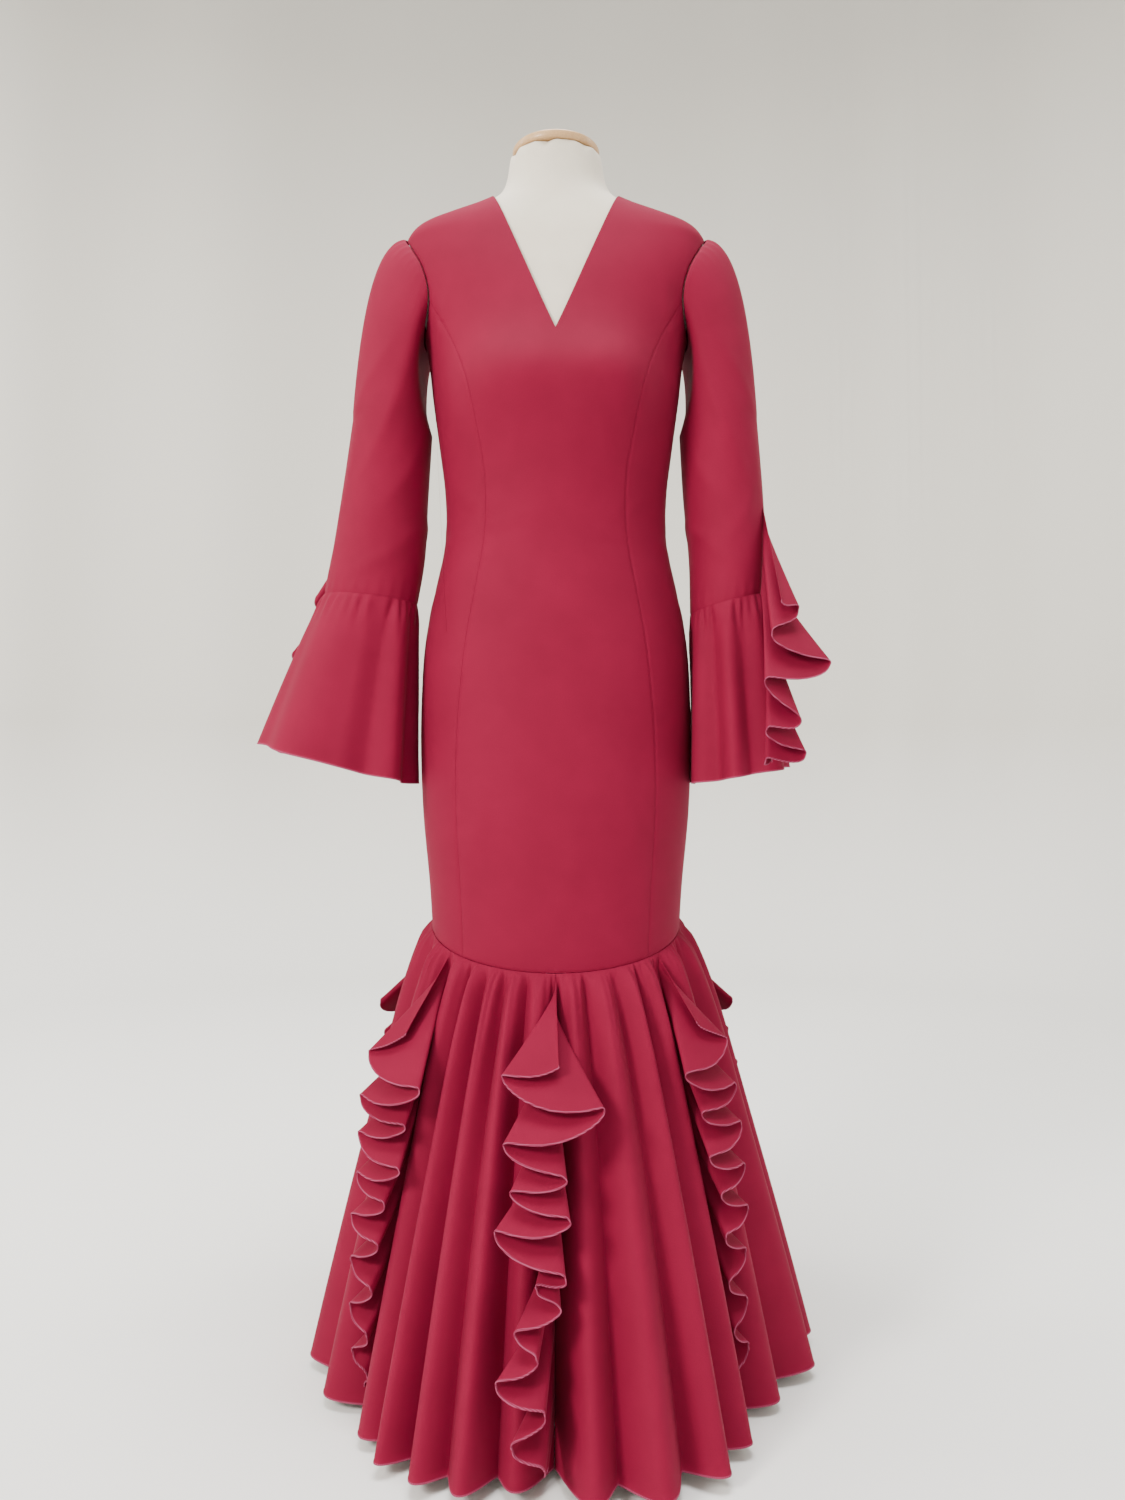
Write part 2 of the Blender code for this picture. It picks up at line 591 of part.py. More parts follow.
def wave_places(turns):
    """Each ridge and valley, and the ends of the straight steps between them."""
    between = [a + (b - a) * k / WAVE_STEPS for a, b in zip(turns, turns[1:]) for k in range(WAVE_STEPS)]
    return np.array(between + [turns[-1]])


def make_gore(name, start, end):
    """A gore between two seams, with a column at the end of each straight step."""
    azimuths = wave_places([a for a in HEM.column("azimuth") if start <= a <= end])
    us, vs = np.meshgrid(azimuths, np.array(SKIRT_ROWS))
    normals = -surface_normals(skirt, us, vs, 0.2, 0.002)
    held = np.clip(us, start + GORE_HELD_DEG, end - GORE_HELD_DEG)
    cloth_wall(name, [(skirt(held, vs), normals)], "crepe", CLOTH)


def make_skirt():
    names = ("back_left", "side_left", "front_left", "front_right", "side_right", "back_right")
    for name, start, end in zip(names, GORE_SEAMS, GORE_SEAMS[1:]):
        make_gore(f"skirt_{name}", start, end)


# Cascades


def fold_path(tips, position):
    """Root, sideways angle and length at a position counted in folds, and the turn's own depth."""
    position = np.clip(position, 0, len(tips.rows) - 1)
    low = np.minimum(position.astype(int), len(tips.rows) - 2)
    t = position - low
    flat = 0.5 - 0.5 * ((1 + FACE_FLATNESS) * np.cos(np.pi * t) - FACE_FLATNESS * np.cos(3 * np.pi * t))
    roots, asides, lengths = (tips.column(c) for c in ("root", "aside", "length"))
    angles = np.arcsin(asides / lengths)
    pitch = roots[low + 1] - roots[low]
    root = roots[low] + pitch * t
    angle = angles[low] + (angles[low + 1] - angles[low]) * flat
    length = lengths[low] + (lengths[low + 1] - lengths[low]) * flat
    turn = -TURN_SHARE * pitch * np.sin(2 * np.pi * t) / (2 * np.pi)
    return root, angle, length, turn


def cascade_grid(tips, detail):
    """Positions along a cascade, closer together in its turns, by its seam (0) and its edge (1)."""
    last = len(tips.rows) - 1
    positions = [n + s for n in range(last) for s in CASCADE_STEPS[detail]] + [last]
    return np.meshgrid(np.array(positions, float), np.array([0.0, 1.0]), indexing="ij")


def skirt_length(azimuth):
    ends = skirt(azimuth, np.array([0.0, 1.0]))
    return float(np.linalg.norm(ends[1] - ends[0]))


def ruffle_wall(name, ruffle, us, vs):
    """The ruffle's wall. It is thickened sideways only, so that its folds can't cut one another."""
    points = ruffle(us, vs)
    normals = surface_normals(ruffle, us, vs, 0.01, 0.01)
    aside = ruffle(us, vs, 0.001) - ruffle(us, vs, -0.001)
    aside /= np.linalg.norm(aside, axis=-1, keepdims=True)
    facing = np.abs((normals * aside).sum(-1, keepdims=True))
    cloth_wall(name, [(points, aside / np.maximum(facing, LEAST_FACING))], "crepe", RUFFLE_CLOTH)


def square_to(azimuth):
    """Unit vectors outwards and sideways (towards +azimuth) at a direction."""
    turned = math.radians(azimuth)
    return np.array([math.sin(turned), -math.cos(turned), 0]), np.array([math.cos(turned), math.sin(turned), 0])


def ridge_over(seam, facing, aside, down):
    """How far the skirt's ridges within this distance of a gore seam stand out beyond it."""
    outward, _ = square_to(facing)
    valley = skirt(seam, down) @ outward
    reached = RIDGE_REACH * math.degrees(aside / valley)
    return float((skirt(seam + np.linspace(-reached, reached, 41), np.full(41, down)) @ outward).max() - valley)


def steepness(seam, facing, tips, length, lift):
    """At each fold, how far it stands out for what it hangs down: over the ridges, and then its lift."""
    asides = np.abs(tips.column("aside"))
    widest = np.maximum(asides, np.maximum(np.append(asides[1:], 0), np.append(0, asides[:-1])))
    below = np.sqrt(tips.column("length") ** 2 - asides**2)
    needed = [
        ridge_over(seam, facing, aside, min((root + hang) / length, 1.0)) / hang
        for root, aside, hang in zip(tips.column("root"), widest, below)
    ]
    padded = np.pad(needed, 2, mode="edge")
    return lift + np.convolve(padded, np.array([1, 2, 3, 2, 1]) / 9, mode="valid")


def make_skirt_cascade(name, seam, facing, tips, side, scale, lift, detail):
    """Straight ribs of cloth from the seam to each fold's edge, fanned to one side and the other."""
    length = skirt_length(seam)
    scaled = Table("root aside length", tips.rows * (1, side * scale, scale))
    steep = steepness(seam, facing, scaled, length, lift)
    outward, sideways = square_to(facing)

    def ruffle(position, across, slid=0.0):
        root, angle, reach, turn = fold_path(scaled, position)
        below = reach * np.cos(angle)
        stand = np.interp(position, np.arange(len(steep)), steep) * (below + turn)
        start = skirt(seam, root / length)
        end = skirt(seam, np.clip((root + below) / length, 0, 1.0))
        end = end + stand[..., None] * (outward + [0, 0, RISE])
        point = start + across[..., None] * (end - start) + CASCADE_CLEAR * outward
        return point + (across * reach * np.sin(angle) + slid)[..., None] * sideways

    ruffle_wall(name, ruffle, *cascade_grid(scaled, detail))


# Sleeves


def clear_of_body(points, gap):
    """The points, with those nearer to the body than the gap moved straight out of it."""
    height = np.clip(points[..., 2], FORM_BOTTOM, ARMHOLE_CENTRE)
    azimuth = np.degrees(
        np.arctan2(
            points[..., 0] / FIGURE.at(height, "half_width"),
            -points[..., 1] / FIGURE.at(height, "front"),
        )
    )
    skin = body(azimuth, height)
    near = np.hypot(skin[..., 0], skin[..., 1]) + gap
    reach = np.hypot(points[..., 0], points[..., 1])
    factor = np.maximum(near / np.maximum(reach, 1e-6), 1.0)
    moved = points.copy()
    moved[..., 0] *= factor
    moved[..., 1] *= factor
    return moved


def sleeve_section(word, angle, height):
    """A point of the sleeve's middle surface. The angle goes from the outer side (0) by the front."""
    side = -1 if word == "left" else 1
    table = SLEEVES[word]
    turned_to = np.radians(angle)
    x = side * (table.at(height, "aside") + table.at(height, "half_x") * np.cos(turned_to))
    y = table.at(height, "centre_y") - table.at(height, "half_y") * np.sin(turned_to)
    return np.stack([x, y, height + 0 * x], axis=-1)


def sleeve_end(word, angle):
    """Height of the elbow seam, lower towards the body."""
    shape = FLOUNCES[word]
    return shape["seam"] + shape["seam_tilt"] * np.cos(np.radians(angle))


def armhole_ring(word, angle):
    """The armhole on the body, a little outside it, in step with the sleeve's angle."""
    side = -1 if word == "left" else 1
    turned_to = np.radians(angle)
    height = ARMHOLE_CENTRE + (ARMHOLE_HALF_HEIGHT + ARMHOLE_OUT) * np.cos(turned_to)
    azimuth = side * (90 - (ARMHOLE_HALF_DEG + ARMHOLE_OUT_DEG) * np.sin(turned_to))
    return body(azimuth, height, beyond=CLOTH + 3 * SEAM_GAP)


def sleeve(word, angle, along):
    """The sleeve from the armhole (0) through the biceps (1) to the elbow seam (2)."""
    angle, along = np.broadcast_arrays(np.asarray(angle, float), np.asarray(along, float))
    side = -1 if word == "left" else 1
    outer = np.cos(np.radians(angle))
    biceps_height = BICEPS_HEIGHT + BICEPS_TILT * outer
    biceps = sleeve_section(word, angle, biceps_height)
    start = armhole_ring(word, angle)
    over = start.copy()
    over[..., 0] += side * (HEAD_OUT + CAP_OUT * np.clip(outer, 0, 1) ** CAP_POWER)
    over[..., 2] += CAP_UP * outer - UNDERARM_DOWN * (1 - outer) / 2
    t = np.clip(along, 0, 1)[..., None]
    head = (1 - t) ** 2 * start + 2 * t * (1 - t) * over + t**2 * biceps
    down = np.clip(along - 1, 0, 1)
    height = biceps_height + (sleeve_end(word, angle) + SEAM_GAP / 2 - biceps_height) * down
    arm = sleeve_section(word, angle, height)
    points = np.where(along[..., None] <= 1, head, arm)
    pushed = clear_of_body(points, BODY_CLEAR)
    share = np.clip(along / SLEEVE_SETTLED, 0, 1)[..., None]
    return points * (1 - share) + pushed * share


def flounce(word, angle, down):
    """A point of a bell flounce, down from the elbow seam (0) to its hem (1)."""
    angle, down = np.broadcast_arrays(np.asarray(angle, float), np.asarray(down, float))
    side = -1 if word == "left" else 1
    shape = FLOUNCES[word]
    turned_to = np.radians(angle)
    top = sleeve(word, angle, np.full(angle.shape, 2.0))
    out = waves(shape["folds"], angle % 360, "out")
    hem_x = side * (shape["aside"] + (shape["half_x"] + out) * np.cos(turned_to))
    hem_y = shape["centre_y"] - (shape["half_y"] + out) * np.sin(turned_to)
    hem_z = shape["hem"] + shape["hem_tilt"] * np.cos(turned_to)
    spread = np.clip(down, 0, None) ** FLOUNCE_POWER
    swell = FLOUNCE_FULLNESS * out * np.clip(down / FLOUNCE_SETTLED, 0, 1) * (1 - down)
    x = top[..., 0] * (1 - spread) + hem_x * spread + side * swell * np.cos(turned_to)
    y = top[..., 1] * (1 - spread) + hem_y * spread - swell * np.sin(turned_to)
    seam_height = sleeve_end(word, angle) - SEAM_GAP / 2
    z = seam_height * (1 - down) + hem_z * down
    points = np.stack([x, y, z], axis=-1)
    pushed = clear_of_body(points, BODY_CLEAR)
    share = np.clip(down / FLOUNCE_SETTLED, 0, 1)[..., None]
    return points * (1 - share) + pushed * share


def tube_wall(name, surface, angles, rows):
    """The wall of a tube surface(angle, along), with its outer skin away from its own axis."""
    us, vs = np.meshgrid(angles, rows)
    points = surface(us, vs)
    normals = surface_normals(surface, us, vs, 1.0, 0.01)
    away = points - points.mean(axis=1, keepdims=True)
    outward = np.sign((normals * away).sum(-1).mean())
    cloth_wall(name, [(points, outward * normals)], "crepe", CLOTH, ring=True)


def make_sleeve(word):
    angles = np.arange(SLEEVE_AROUND) * 360.0 / SLEEVE_AROUND
    tube_wall(f"sleeve_{word}", functools.partial(sleeve, word), angles, np.array(SLEEVE_ROWS))


def make_flounce(word):
    angles = wave_places(FLOUNCES[word]["folds"].column("angle"))[:-1]
    tube_wall(f"sleeve_flounce_{word}", functools.partial(flounce, word), angles, np.array(FLOUNCE_ROWS))


def sleeve_side(word, angle, height):
    """The sleeve or flounce at a height, whichever is there."""
    shape = FLOUNCES[word]
    top = sleeve_end(word, angle) - SEAM_GAP / 2
    bottom = shape["hem"] + shape["hem_tilt"] * np.cos(np.radians(angle))
    down = np.clip((top - height) / (top - bottom), 0, 1)
    on_flounce = flounce(word, angle, down)
    on_sleeve = sleeve_section(word, angle, height)
    return np.where((height < top)[..., None], on_flounce, on_sleeve)


def make_sleeve_cascade(word):
    shape, tips = FLOUNCES[word], SLEEVE_CASCADES[word]
    side = -1 if word == "left" else 1
    outward = side * np.cos(np.radians(shape["facing"])), -np.sin(np.radians(shape["facing"]))

    def beyond(height, out, aside):
        """A point this far out from the ruffle's own line on the sleeve, and this far to the front."""
        angle = np.interp(height, (shape["hem"], shape["root_top"]), shape["root_turn"])
        line = sleeve_side(word, angle, height)
        x = out * outward[0] + side * aside * outward[1]
        y = out * outward[1] - side * aside * outward[0]
        return line + np.stack([x, y, 0 * x], axis=-1)

    def ruffle(position, across, slid=0.0):
        root, angle, reach, turn = fold_path(tips, position)
        below = reach * np.cos(angle)
        lift = np.interp(position, np.arange(len(tips.rows)), tips.column("lift"))
        height = shape["root_top"] - root
        start = beyond(height, SLEEVE_CASCADE_CLEAR + 0 * height, slid + 0 * height)
        stand = SLEEVE_CASCADE_CLEAR + lift * (below + turn)
        low = np.maximum(height - below, shape["hem"] + SLEEVE_CASCADE_HEM_CLEAR)
        end = beyond(low, stand, slid + reach * np.sin(angle))
        return start + across[..., None] * (end - start)

    ruffle_wall(f"sleeve_cascade_{word}", ruffle, *cascade_grid(tips, "coarse"))


# Form and stand


FORM_ROWS = (
    0.720, 0.790, 0.860, 0.920, 0.985, 1.045, 1.095, 1.128, 1.155, 1.180, 1.210, 1.250,
    1.290, 1.320, 1.337, 1.347, 1.355, 1.363, 1.372, 1.383, 1.394, 1.406, 1.425, NECK_TOP,
)
FORM_AROUND = 28
FORM_EDGE = 0.012


def make_form():
    """The torso: sections of the figure, closed flat underneath with a rounded edge."""
    azimuths = np.arange(FORM_AROUND) * 360.0 / FORM_AROUND
    sections = []
    for shrink, height in ((0.90, FORM_BOTTOM), (0.97, FORM_BOTTOM + 0.004), (1.0, FORM_BOTTOM + FORM_EDGE)):
        section = figure(azimuths, FORM_BOTTOM + FORM_EDGE)
        section[:, :2] *= shrink
        section[:, 2] = height
        sections.append(section)
    sections += [figure(azimuths, height) for height in FORM_ROWS]
    form = bmesh.new()
    rings = [[form.verts.new(point) for point in section] for section in sections]
    for low, high in zip(rings, rings[1:]):
        for k in range(FORM_AROUND):
            n = (k + 1) % FORM_AROUND
            form.faces.new((low[k], low[n], high[n], high[k]))
    form.faces.new(rings[0][::-1])
    form.faces.new(rings[-1])
    bmesh.ops.recalc_face_normals(form, faces=form.faces)
    mesh = bpy.data.meshes.new("form_torso")
    form.to_mesh(mesh)
    form.free()
    mesh.shade_smooth()
    mesh.set_sharp_from_angle(angle=math.radians(50))
    add_object("form_torso", mesh, "form_jersey")


def make_neck_cap():
    """A low domed disc on the neck."""
    base = NECK_TOP + SEAM_GAP
    profile = [(0, base)] + [(radius, base + up) for radius, up in NECK_CAP_PROFILE]
    cap = turned("form_neck_cap", profile, 24, "cap_wood")
    cap.location.y = float(FIGURE.at(NECK_TOP, "shift"))


def make_stand():
    """A flat round base with a hub, and the pole and flange that carry the torso, turned as one."""
    top = FORM_BOTTOM - SEAM_GAP
    profile = [
        (0, 0), (BASE_RADIUS, 0), (BASE_RADIUS, BASE_THICKNESS - 0.003), (BASE_RADIUS - 0.004, BASE_THICKNESS),
        (HUB_RADIUS + 0.012, BASE_THICKNESS + 0.003), (HUB_RADIUS, BASE_THICKNESS + 0.012),
        (HUB_RADIUS, HUB_TOP), (POLE_RADIUS, HUB_TOP), (POLE_RADIUS, top - FLANGE_TAPER),
        (FLANGE_RADIUS, top - FLANGE_RIM), (FLANGE_RADIUS, top), (0, top),
    ]
    turned("form_stand", profile, 32, "stand_steel")


# Zip


def box_mesh(name, low, high):
    """A box between two corners, as a mesh."""
    form = bmesh.new()
    bmesh.ops.create_cube(form, size=1.0)
    for vertex in form.verts:
        vertex.co = [lo + (c + 0.5) * (hi - lo) for c, lo, hi in zip(vertex.co, low, high)]
    mesh = bpy.data.meshes.new(name)
    form.to_mesh(mesh)
    form.free()
    return mesh


def helper(name, mesh):
    """A shape that only cuts or joins another."""
    made = bpy.data.objects.new(name, mesh)
    bpy.context.scene.collection.objects.link(made)
    made.hide_render = True
    return made


def combine(target, other, operation):
    modifier = target.modifiers.new(operation.lower(), "BOOLEAN")
    modifier.operation = operation
    modifier.object = other


def drop_mesh(name):
    """The pull tab without its window: a flat drop that hangs down from the hinge, along -Z."""
    sides = [(half, -along) for along, half in TAB_OUTLINE]
    outline = sides + [(-x, z) for x, z in reversed(sides)]
    form = bmesh.new()
    faces = []
    for y in (-TAB_DEPTH / 2, TAB_DEPTH / 2):
        faces.append([form.verts.new((x, y, z)) for x, z in outline])
    form.faces.new(faces[0])
    form.faces.new(faces[1][::-1])
    for k in range(len(outline)):
        n = (k + 1) % len(outline)
        form.faces.new((faces[0][k], faces[1][k], faces[1][n], faces[0][n]))
    bmesh.ops.recalc_face_normals(form, faces=form.faces)
    mesh = bpy.data.meshes.new(name)
    form.to_mesh(mesh)
    form.free()
    return mesh


def zip_place():
    """Where the slider lies on the back, how far it leans, and how far the tab leans further."""
    out = CLOTH / 2 + SEAM_GAP
    place = body(180.0, ZIP_HEIGHT, beyond=out)
    below = body(180.0, ZIP_HEIGHT - SLIDER_LENGTH / 2, beyond=out)
    above = body(180.0, ZIP_HEIGHT + SLIDER_LENGTH / 2, beyond=out)
    lean = math.atan2(below[1] - above[1], above[2] - below[2])
    across = np.array([math.cos(lean), math.sin(lean)])  # away from the cloth, in Y and Z
    bulge = max((end - place)[1:] @ across for end in (above, below))
    place = place + np.array([0, *(across * max(bulge, 0))])
    axis = place[1:] + across * (SLIDER_DEPTH + BAIL_OPENING / 2)
    along = TAB_OUTLINE[-1][0]
    heights = np.linspace(axis[1] - along - 0.002, axis[1] - 0.004, 40)
    cloth = body(180.0, heights, beyond=out + TAB_DEPTH / 2)[:, 1:]
    steepest = np.arctan2(cloth[:, 0] - axis[0], axis[1] - cloth[:, 1]).max()
    least = lean - math.atan((BAIL_OPENING / 2 - TAB_DEPTH / 2 - SEAM_GAP) / (SLIDER_LENGTH / 2 + 0.0005))
    return place, lean, axis, max(steepest, least)


def laid(piece, spot, lean):
    piece.location = (0, spot[0], spot[1])
    piece.rotation_euler.x = lean


def make_zip():
    """Slider and tab, modelled upright and then laid along the centre back."""
    place, lean, axis, tab_lean = zip_place()
    half = SLIDER_WIDTH / 2
    slider = add_object(
        "zip_slider",
        box_mesh("zip_slider", (-half, 0, -SLIDER_LENGTH / 2), (half, SLIDER_DEPTH, SLIDER_LENGTH / 2)),
        "zip_metal",
    )
    wide, reach, top = BAIL_WIDTH / 2, BAIL_REACH / 2, SLIDER_DEPTH + BAIL_OPENING
    arch = helper("bail_arch", box_mesh("bail_arch", (-wide, SLIDER_DEPTH / 2, -reach), (wide, top + BAIL_BAR, reach)))
    inside = reach - BAIL_BAR
    opening = helper("bail_opening", box_mesh("bail_opening", (-2 * wide, SLIDER_DEPTH, -inside), (2 * wide, top, inside)))
    combine(slider, arch, "UNION")
    combine(slider, opening, "DIFFERENCE")
    for piece in (slider, arch, opening):
        laid(piece, place[1:], lean)
    tab = add_object("zip_pull_tab", drop_mesh("zip_pull_tab"), "zip_metal")
    window = helper(
        "tab_window",
        box_mesh(
            "tab_window",
            (-TAB_WINDOW_WIDTH / 2, -TAB_DEPTH, -TAB_BAR / 2 - TAB_WINDOW_LENGTH),
            (TAB_WINDOW_WIDTH / 2, TAB_DEPTH, -TAB_BAR / 2),
        ),
    )
    combine(tab, window, "DIFFERENCE")
    for piece in (tab, window):
        laid(piece, axis, tab_lean)


def main():
    for old in list(bpy.data.objects):
        bpy.data.objects.remove(old)
    make_body()
    make_skirt()
    for row in SKIRT_CASCADES:
        make_skirt_cascade(*row)
    for word in ("left", "right"):
        make_sleeve(word)
        make_flounce(word)
        make_sleeve_cascade(word)
    make_form()
    make_neck_cap()
    make_stand()
    make_zip()


main()
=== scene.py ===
"""Looks of a flamenco dress on its dress form: matte crepe, gathers, ruffles with overlocked edges.

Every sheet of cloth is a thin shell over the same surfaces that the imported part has, at a finer
pitch. Metres, +Z up, the front faces -Y. Azimuths are degrees about +Z, from the front (0)
towards +X (90).
"""

import math

import bmesh
import bpy
import numpy as np
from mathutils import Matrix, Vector


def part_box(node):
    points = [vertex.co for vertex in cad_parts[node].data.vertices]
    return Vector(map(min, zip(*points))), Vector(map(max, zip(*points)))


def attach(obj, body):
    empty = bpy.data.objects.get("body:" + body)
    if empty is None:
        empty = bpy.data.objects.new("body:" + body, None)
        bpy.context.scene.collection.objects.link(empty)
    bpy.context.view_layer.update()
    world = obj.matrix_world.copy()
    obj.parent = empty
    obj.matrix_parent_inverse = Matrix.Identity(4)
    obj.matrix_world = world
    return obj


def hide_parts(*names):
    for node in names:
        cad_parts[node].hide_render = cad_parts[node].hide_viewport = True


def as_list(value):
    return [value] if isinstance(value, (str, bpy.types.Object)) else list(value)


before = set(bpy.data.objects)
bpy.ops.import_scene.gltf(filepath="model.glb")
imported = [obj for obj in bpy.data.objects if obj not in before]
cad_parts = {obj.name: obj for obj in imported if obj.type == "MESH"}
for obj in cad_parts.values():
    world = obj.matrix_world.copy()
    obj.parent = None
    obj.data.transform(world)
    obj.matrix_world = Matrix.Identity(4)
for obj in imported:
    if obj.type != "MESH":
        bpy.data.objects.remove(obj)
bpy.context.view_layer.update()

MM = 0.001
SIDES = {"left": -1, "right": 1}

# The cloth as it is cut and sewn
CREPE = 0.9 * MM  # wall of a sheet
RUFFLE_CREPE = 0.7 * MM
CAD_CLOTH = 1.5 * MM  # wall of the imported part's cloth, whose middle surfaces these sheets share
SEAM_GAP = 0.3 * MM
SKIRT_SEAM_GAP = 0.7 * MM
BEAD = 1.6 * MM  # width of an overlocked edge
BEAD_SWELL = 1.9  # how much thicker than the sheet it is
BEAD_ENDS, BEAD_FADE = 1.10, 0.08  # in beads from the edge: where the thread ends, and how fast
BEAD_MIDDLE, BEAD_ROUND = 0.45, 2.6  # where it is thickest, and how fast it rounds away
BEAD_ROWS = (1.15, 1.0, 0.55, 0.0)

HEM_HEIGHT = 0.013
SKIRT_SEAM_MEAN = 0.5175
SKIRT_SEAM_DIP = 0.041
V_NECK_BOTTOM = 1.205
NECK_POINT = 1.401
NECK_POINT_X = 0.079
BACK_NECK = 1.374
PRINCESS_TOP = 1.262
ARMHOLE_CENTRE = 1.290
ARMHOLE_HALF_HEIGHT = 0.062
ARMHOLE_HALF_DEG = 34.0
ARMHOLE_TOP = ARMHOLE_CENTRE + ARMHOLE_HALF_HEIGHT
FORM_BOTTOM = 0.665

# The concealed zip behind the slit of the centre back. Deep is from the cloth's middle surface.
ZIP_FOOT, ZIP_TOP = 0.800, 1.3725  # ends of its tape
TAPE_HALF, TAPE, TAPE_DEEP = 12.0 * MM, 0.3 * MM, 1.25 * MM
TAPE_ROWS, TAPE_ACROSS = 150, 7
TEETH_FOOT, TEETH_TOP, TOOTH_EVERY = 0.804, 1.3575, 1.5 * MM
TOOTH, TOOTH_EASED = (1.3 * MM, 0.45 * MM, 1.0 * MM), 0.12 * MM
TOOTH_ASIDE, TOOTH_DEEP = 0.3 * MM, 1.65 * MM

# Colours
CREPE_DEEP, CREPE_LIGHT = "#6f0628", "#800a31"
# Overlock thread: paler than the cloth, partly in its own tone and partly as a painted highlight; its turns
# are painted as alternating stripes of light and shade
THREAD_PAINTED_SHADE, THREAD_PAINTED_LIGHT = "#781c3b", "#9b4563"
PEBBLE, THREAD_EVERY = 0.9 * MM, 2.0 * MM
JERSEY_SHADE, JERSEY_LIGHT = "#cfc6b5", "#e0d8c9"
FLOOR_COLOUR, WALL_COLOUR = "#f8f8f6", "#d4d1ca"

# Studio
FLOOR_RADIUS, WALL_BEND, WALL_TOP = 2.6, 1.0, 5.4
DRAPES, DRAPE_DEPTH = 31, 0.055  # the backdrop hangs in this many soft folds
STUDIO_AROUND, FLOOR_RINGS, BEND_RINGS = 480, 8, 24
CAMERA_PLACE, CAMERA_UP, CAMERA_LENS = (0.008, -1.38, 0.70), 1.22, 27.02
LAMPS = (
    # name, place, target, size, power, colour
    ("window", (-2.0, -2.1, 2.2), (0, 0, 0.8), 0.9, 120.0, "#fffaf3"),
    ("fill", (2.3, -1.6, 1.4), (0, 0, 0.7), 1.6, 7.0, "#f4f6ff"),
    ("ceiling", (0.0, -0.3, 3.6), (0, -0.1, 0.0), 2.0, 150.0, "#ffffff"),
    ("wall_left", (-1.9, 0.3, 2.6), (-1.4, 3.4, 1.4), 1.2, 62.0, "#fffdf8"),
    ("wall_right", (1.9, 0.3, 2.6), (1.4, 3.4, 1.2), 1.2, 34.0, "#fffdf8"),
)
AIR_STRENGTH = 0.40


class Table:
    """Rows of numbers with named columns, read along a smooth curve through the rows."""

    def __init__(self, columns, rows):
        self.names = columns.split()
        self.rows = np.array(rows, float)

    def column(self, name):
        return self.rows[:, self.names.index(name)]

    def at(self, where, name):
        xs, ys = self.rows[:, 0], self.column(name)
        where = np.clip(np.asarray(where, float), xs[0], xs[-1])
        low = np.clip(np.searchsorted(xs, where, side="right") - 1, 0, len(xs) - 2)
        step = xs[low + 1] - xs[low]
        t = (where - xs[low]) / step
        slopes = np.gradient(ys, xs)
        return (
            (2 * t**3 - 3 * t**2 + 1) * ys[low]
            + (t**3 - 2 * t**2 + t) * step * slopes[low]
            + (3 * t**2 - 2 * t**3) * ys[low + 1]
            + (t**3 - t**2) * step * slopes[low + 1]
        )


# The figure, and under the form's bottom the line on which the cloth hangs
FIGURE = Table(
    "height half_width front back square shift ease",
    [
        (0.440, 0.1450, 0.1110, 0.1160, 0.000, 0.000, 0.0004),
        (0.560, 0.1515, 0.1130, 0.1220, 0.000, 0.000, 0.0004),
        (0.660, 0.1590, 0.1150, 0.1310, 0.000, 0.000, 0.0020),
        (0.790, 0.1610, 0.1130, 0.1360, 0.000, 0.000, 0.0020),
        (0.860, 0.1560, 0.1090, 0.1270, 0.000, 0.000, 0.0024),
        (0.920, 0.1430, 0.1020, 0.1090, 0.000, 0.000, 0.0040),
        (0.985, 0.1285, 0.0940, 0.0930, 0.000, 0.000, 0.0055),
        (1.040, 0.1305, 0.0970, 0.0920, 0.000, 0.000, 0.0040),
        (1.100, 0.1385, 0.1030, 0.0960, 0.010, 0.000, 0.0032),
        (1.155, 0.1460, 0.1070, 0.1010, 0.015, 0.000, 0.0032),
        (1.210, 0.1530, 0.1050, 0.1050, 0.025, 0.000, 0.0028),
        (1.260, 0.1640, 0.0980, 0.1040, 0.040, 0.001, 0.0024),
        (1.300, 0.1750, 0.0900, 0.0990, 0.055, 0.002, 0.0022),
        (1.332, 0.1815, 0.0820, 0.0910, 0.060, 0.002, 0.0016),
        (1.350, 0.1800, 0.0760, 0.0840, 0.060, 0.001, 0.0014),
        (1.362, 0.1690, 0.0715, 0.0780, 0.050, 0.000, 0.0013),
        (1.372, 0.1450, 0.0675, 0.0725, 0.040, -0.001, 0.0013),
        (1.383, 0.1140, 0.0635, 0.0670, 0.025, -0.002, 0.0015),
        (1.394, 0.0880, 0.0595, 0.0625, 0.010, -0.003, 0.0020),
        (1.406, 0.0700, 0.0565, 0.0580, 0.000, -0.004, 0.0020),
        (1.425, 0.0600, 0.0535, 0.0540, 0.000, -0.006, 0.0008),
        (1.455, 0.0570, 0.0520, 0.0530, 0.000, -0.009, 0.0008),
    ],
)
BUST_HEIGHT, BUST_SIDE, BUST_OUT = 1.150, 0.074, 0.024
BUST_SPREAD, BUST_RISE, BUST_CLEFT, BUST_MIDDLE = 0.044, 0.052, 0.35, 0.015

PRINCESS = Table(
    "height front back",
    [
        (0.440, 46.0, 44.0), (0.700, 45.0, 42.0), (0.985, 38.0, 36.0), (1.100, 38.5, 40.0),
        (1.155, 41.5, 44.0), (1.210, 49.0, 51.0), (PRINCESS_TOP, 59.8, 59.8),
    ],
)

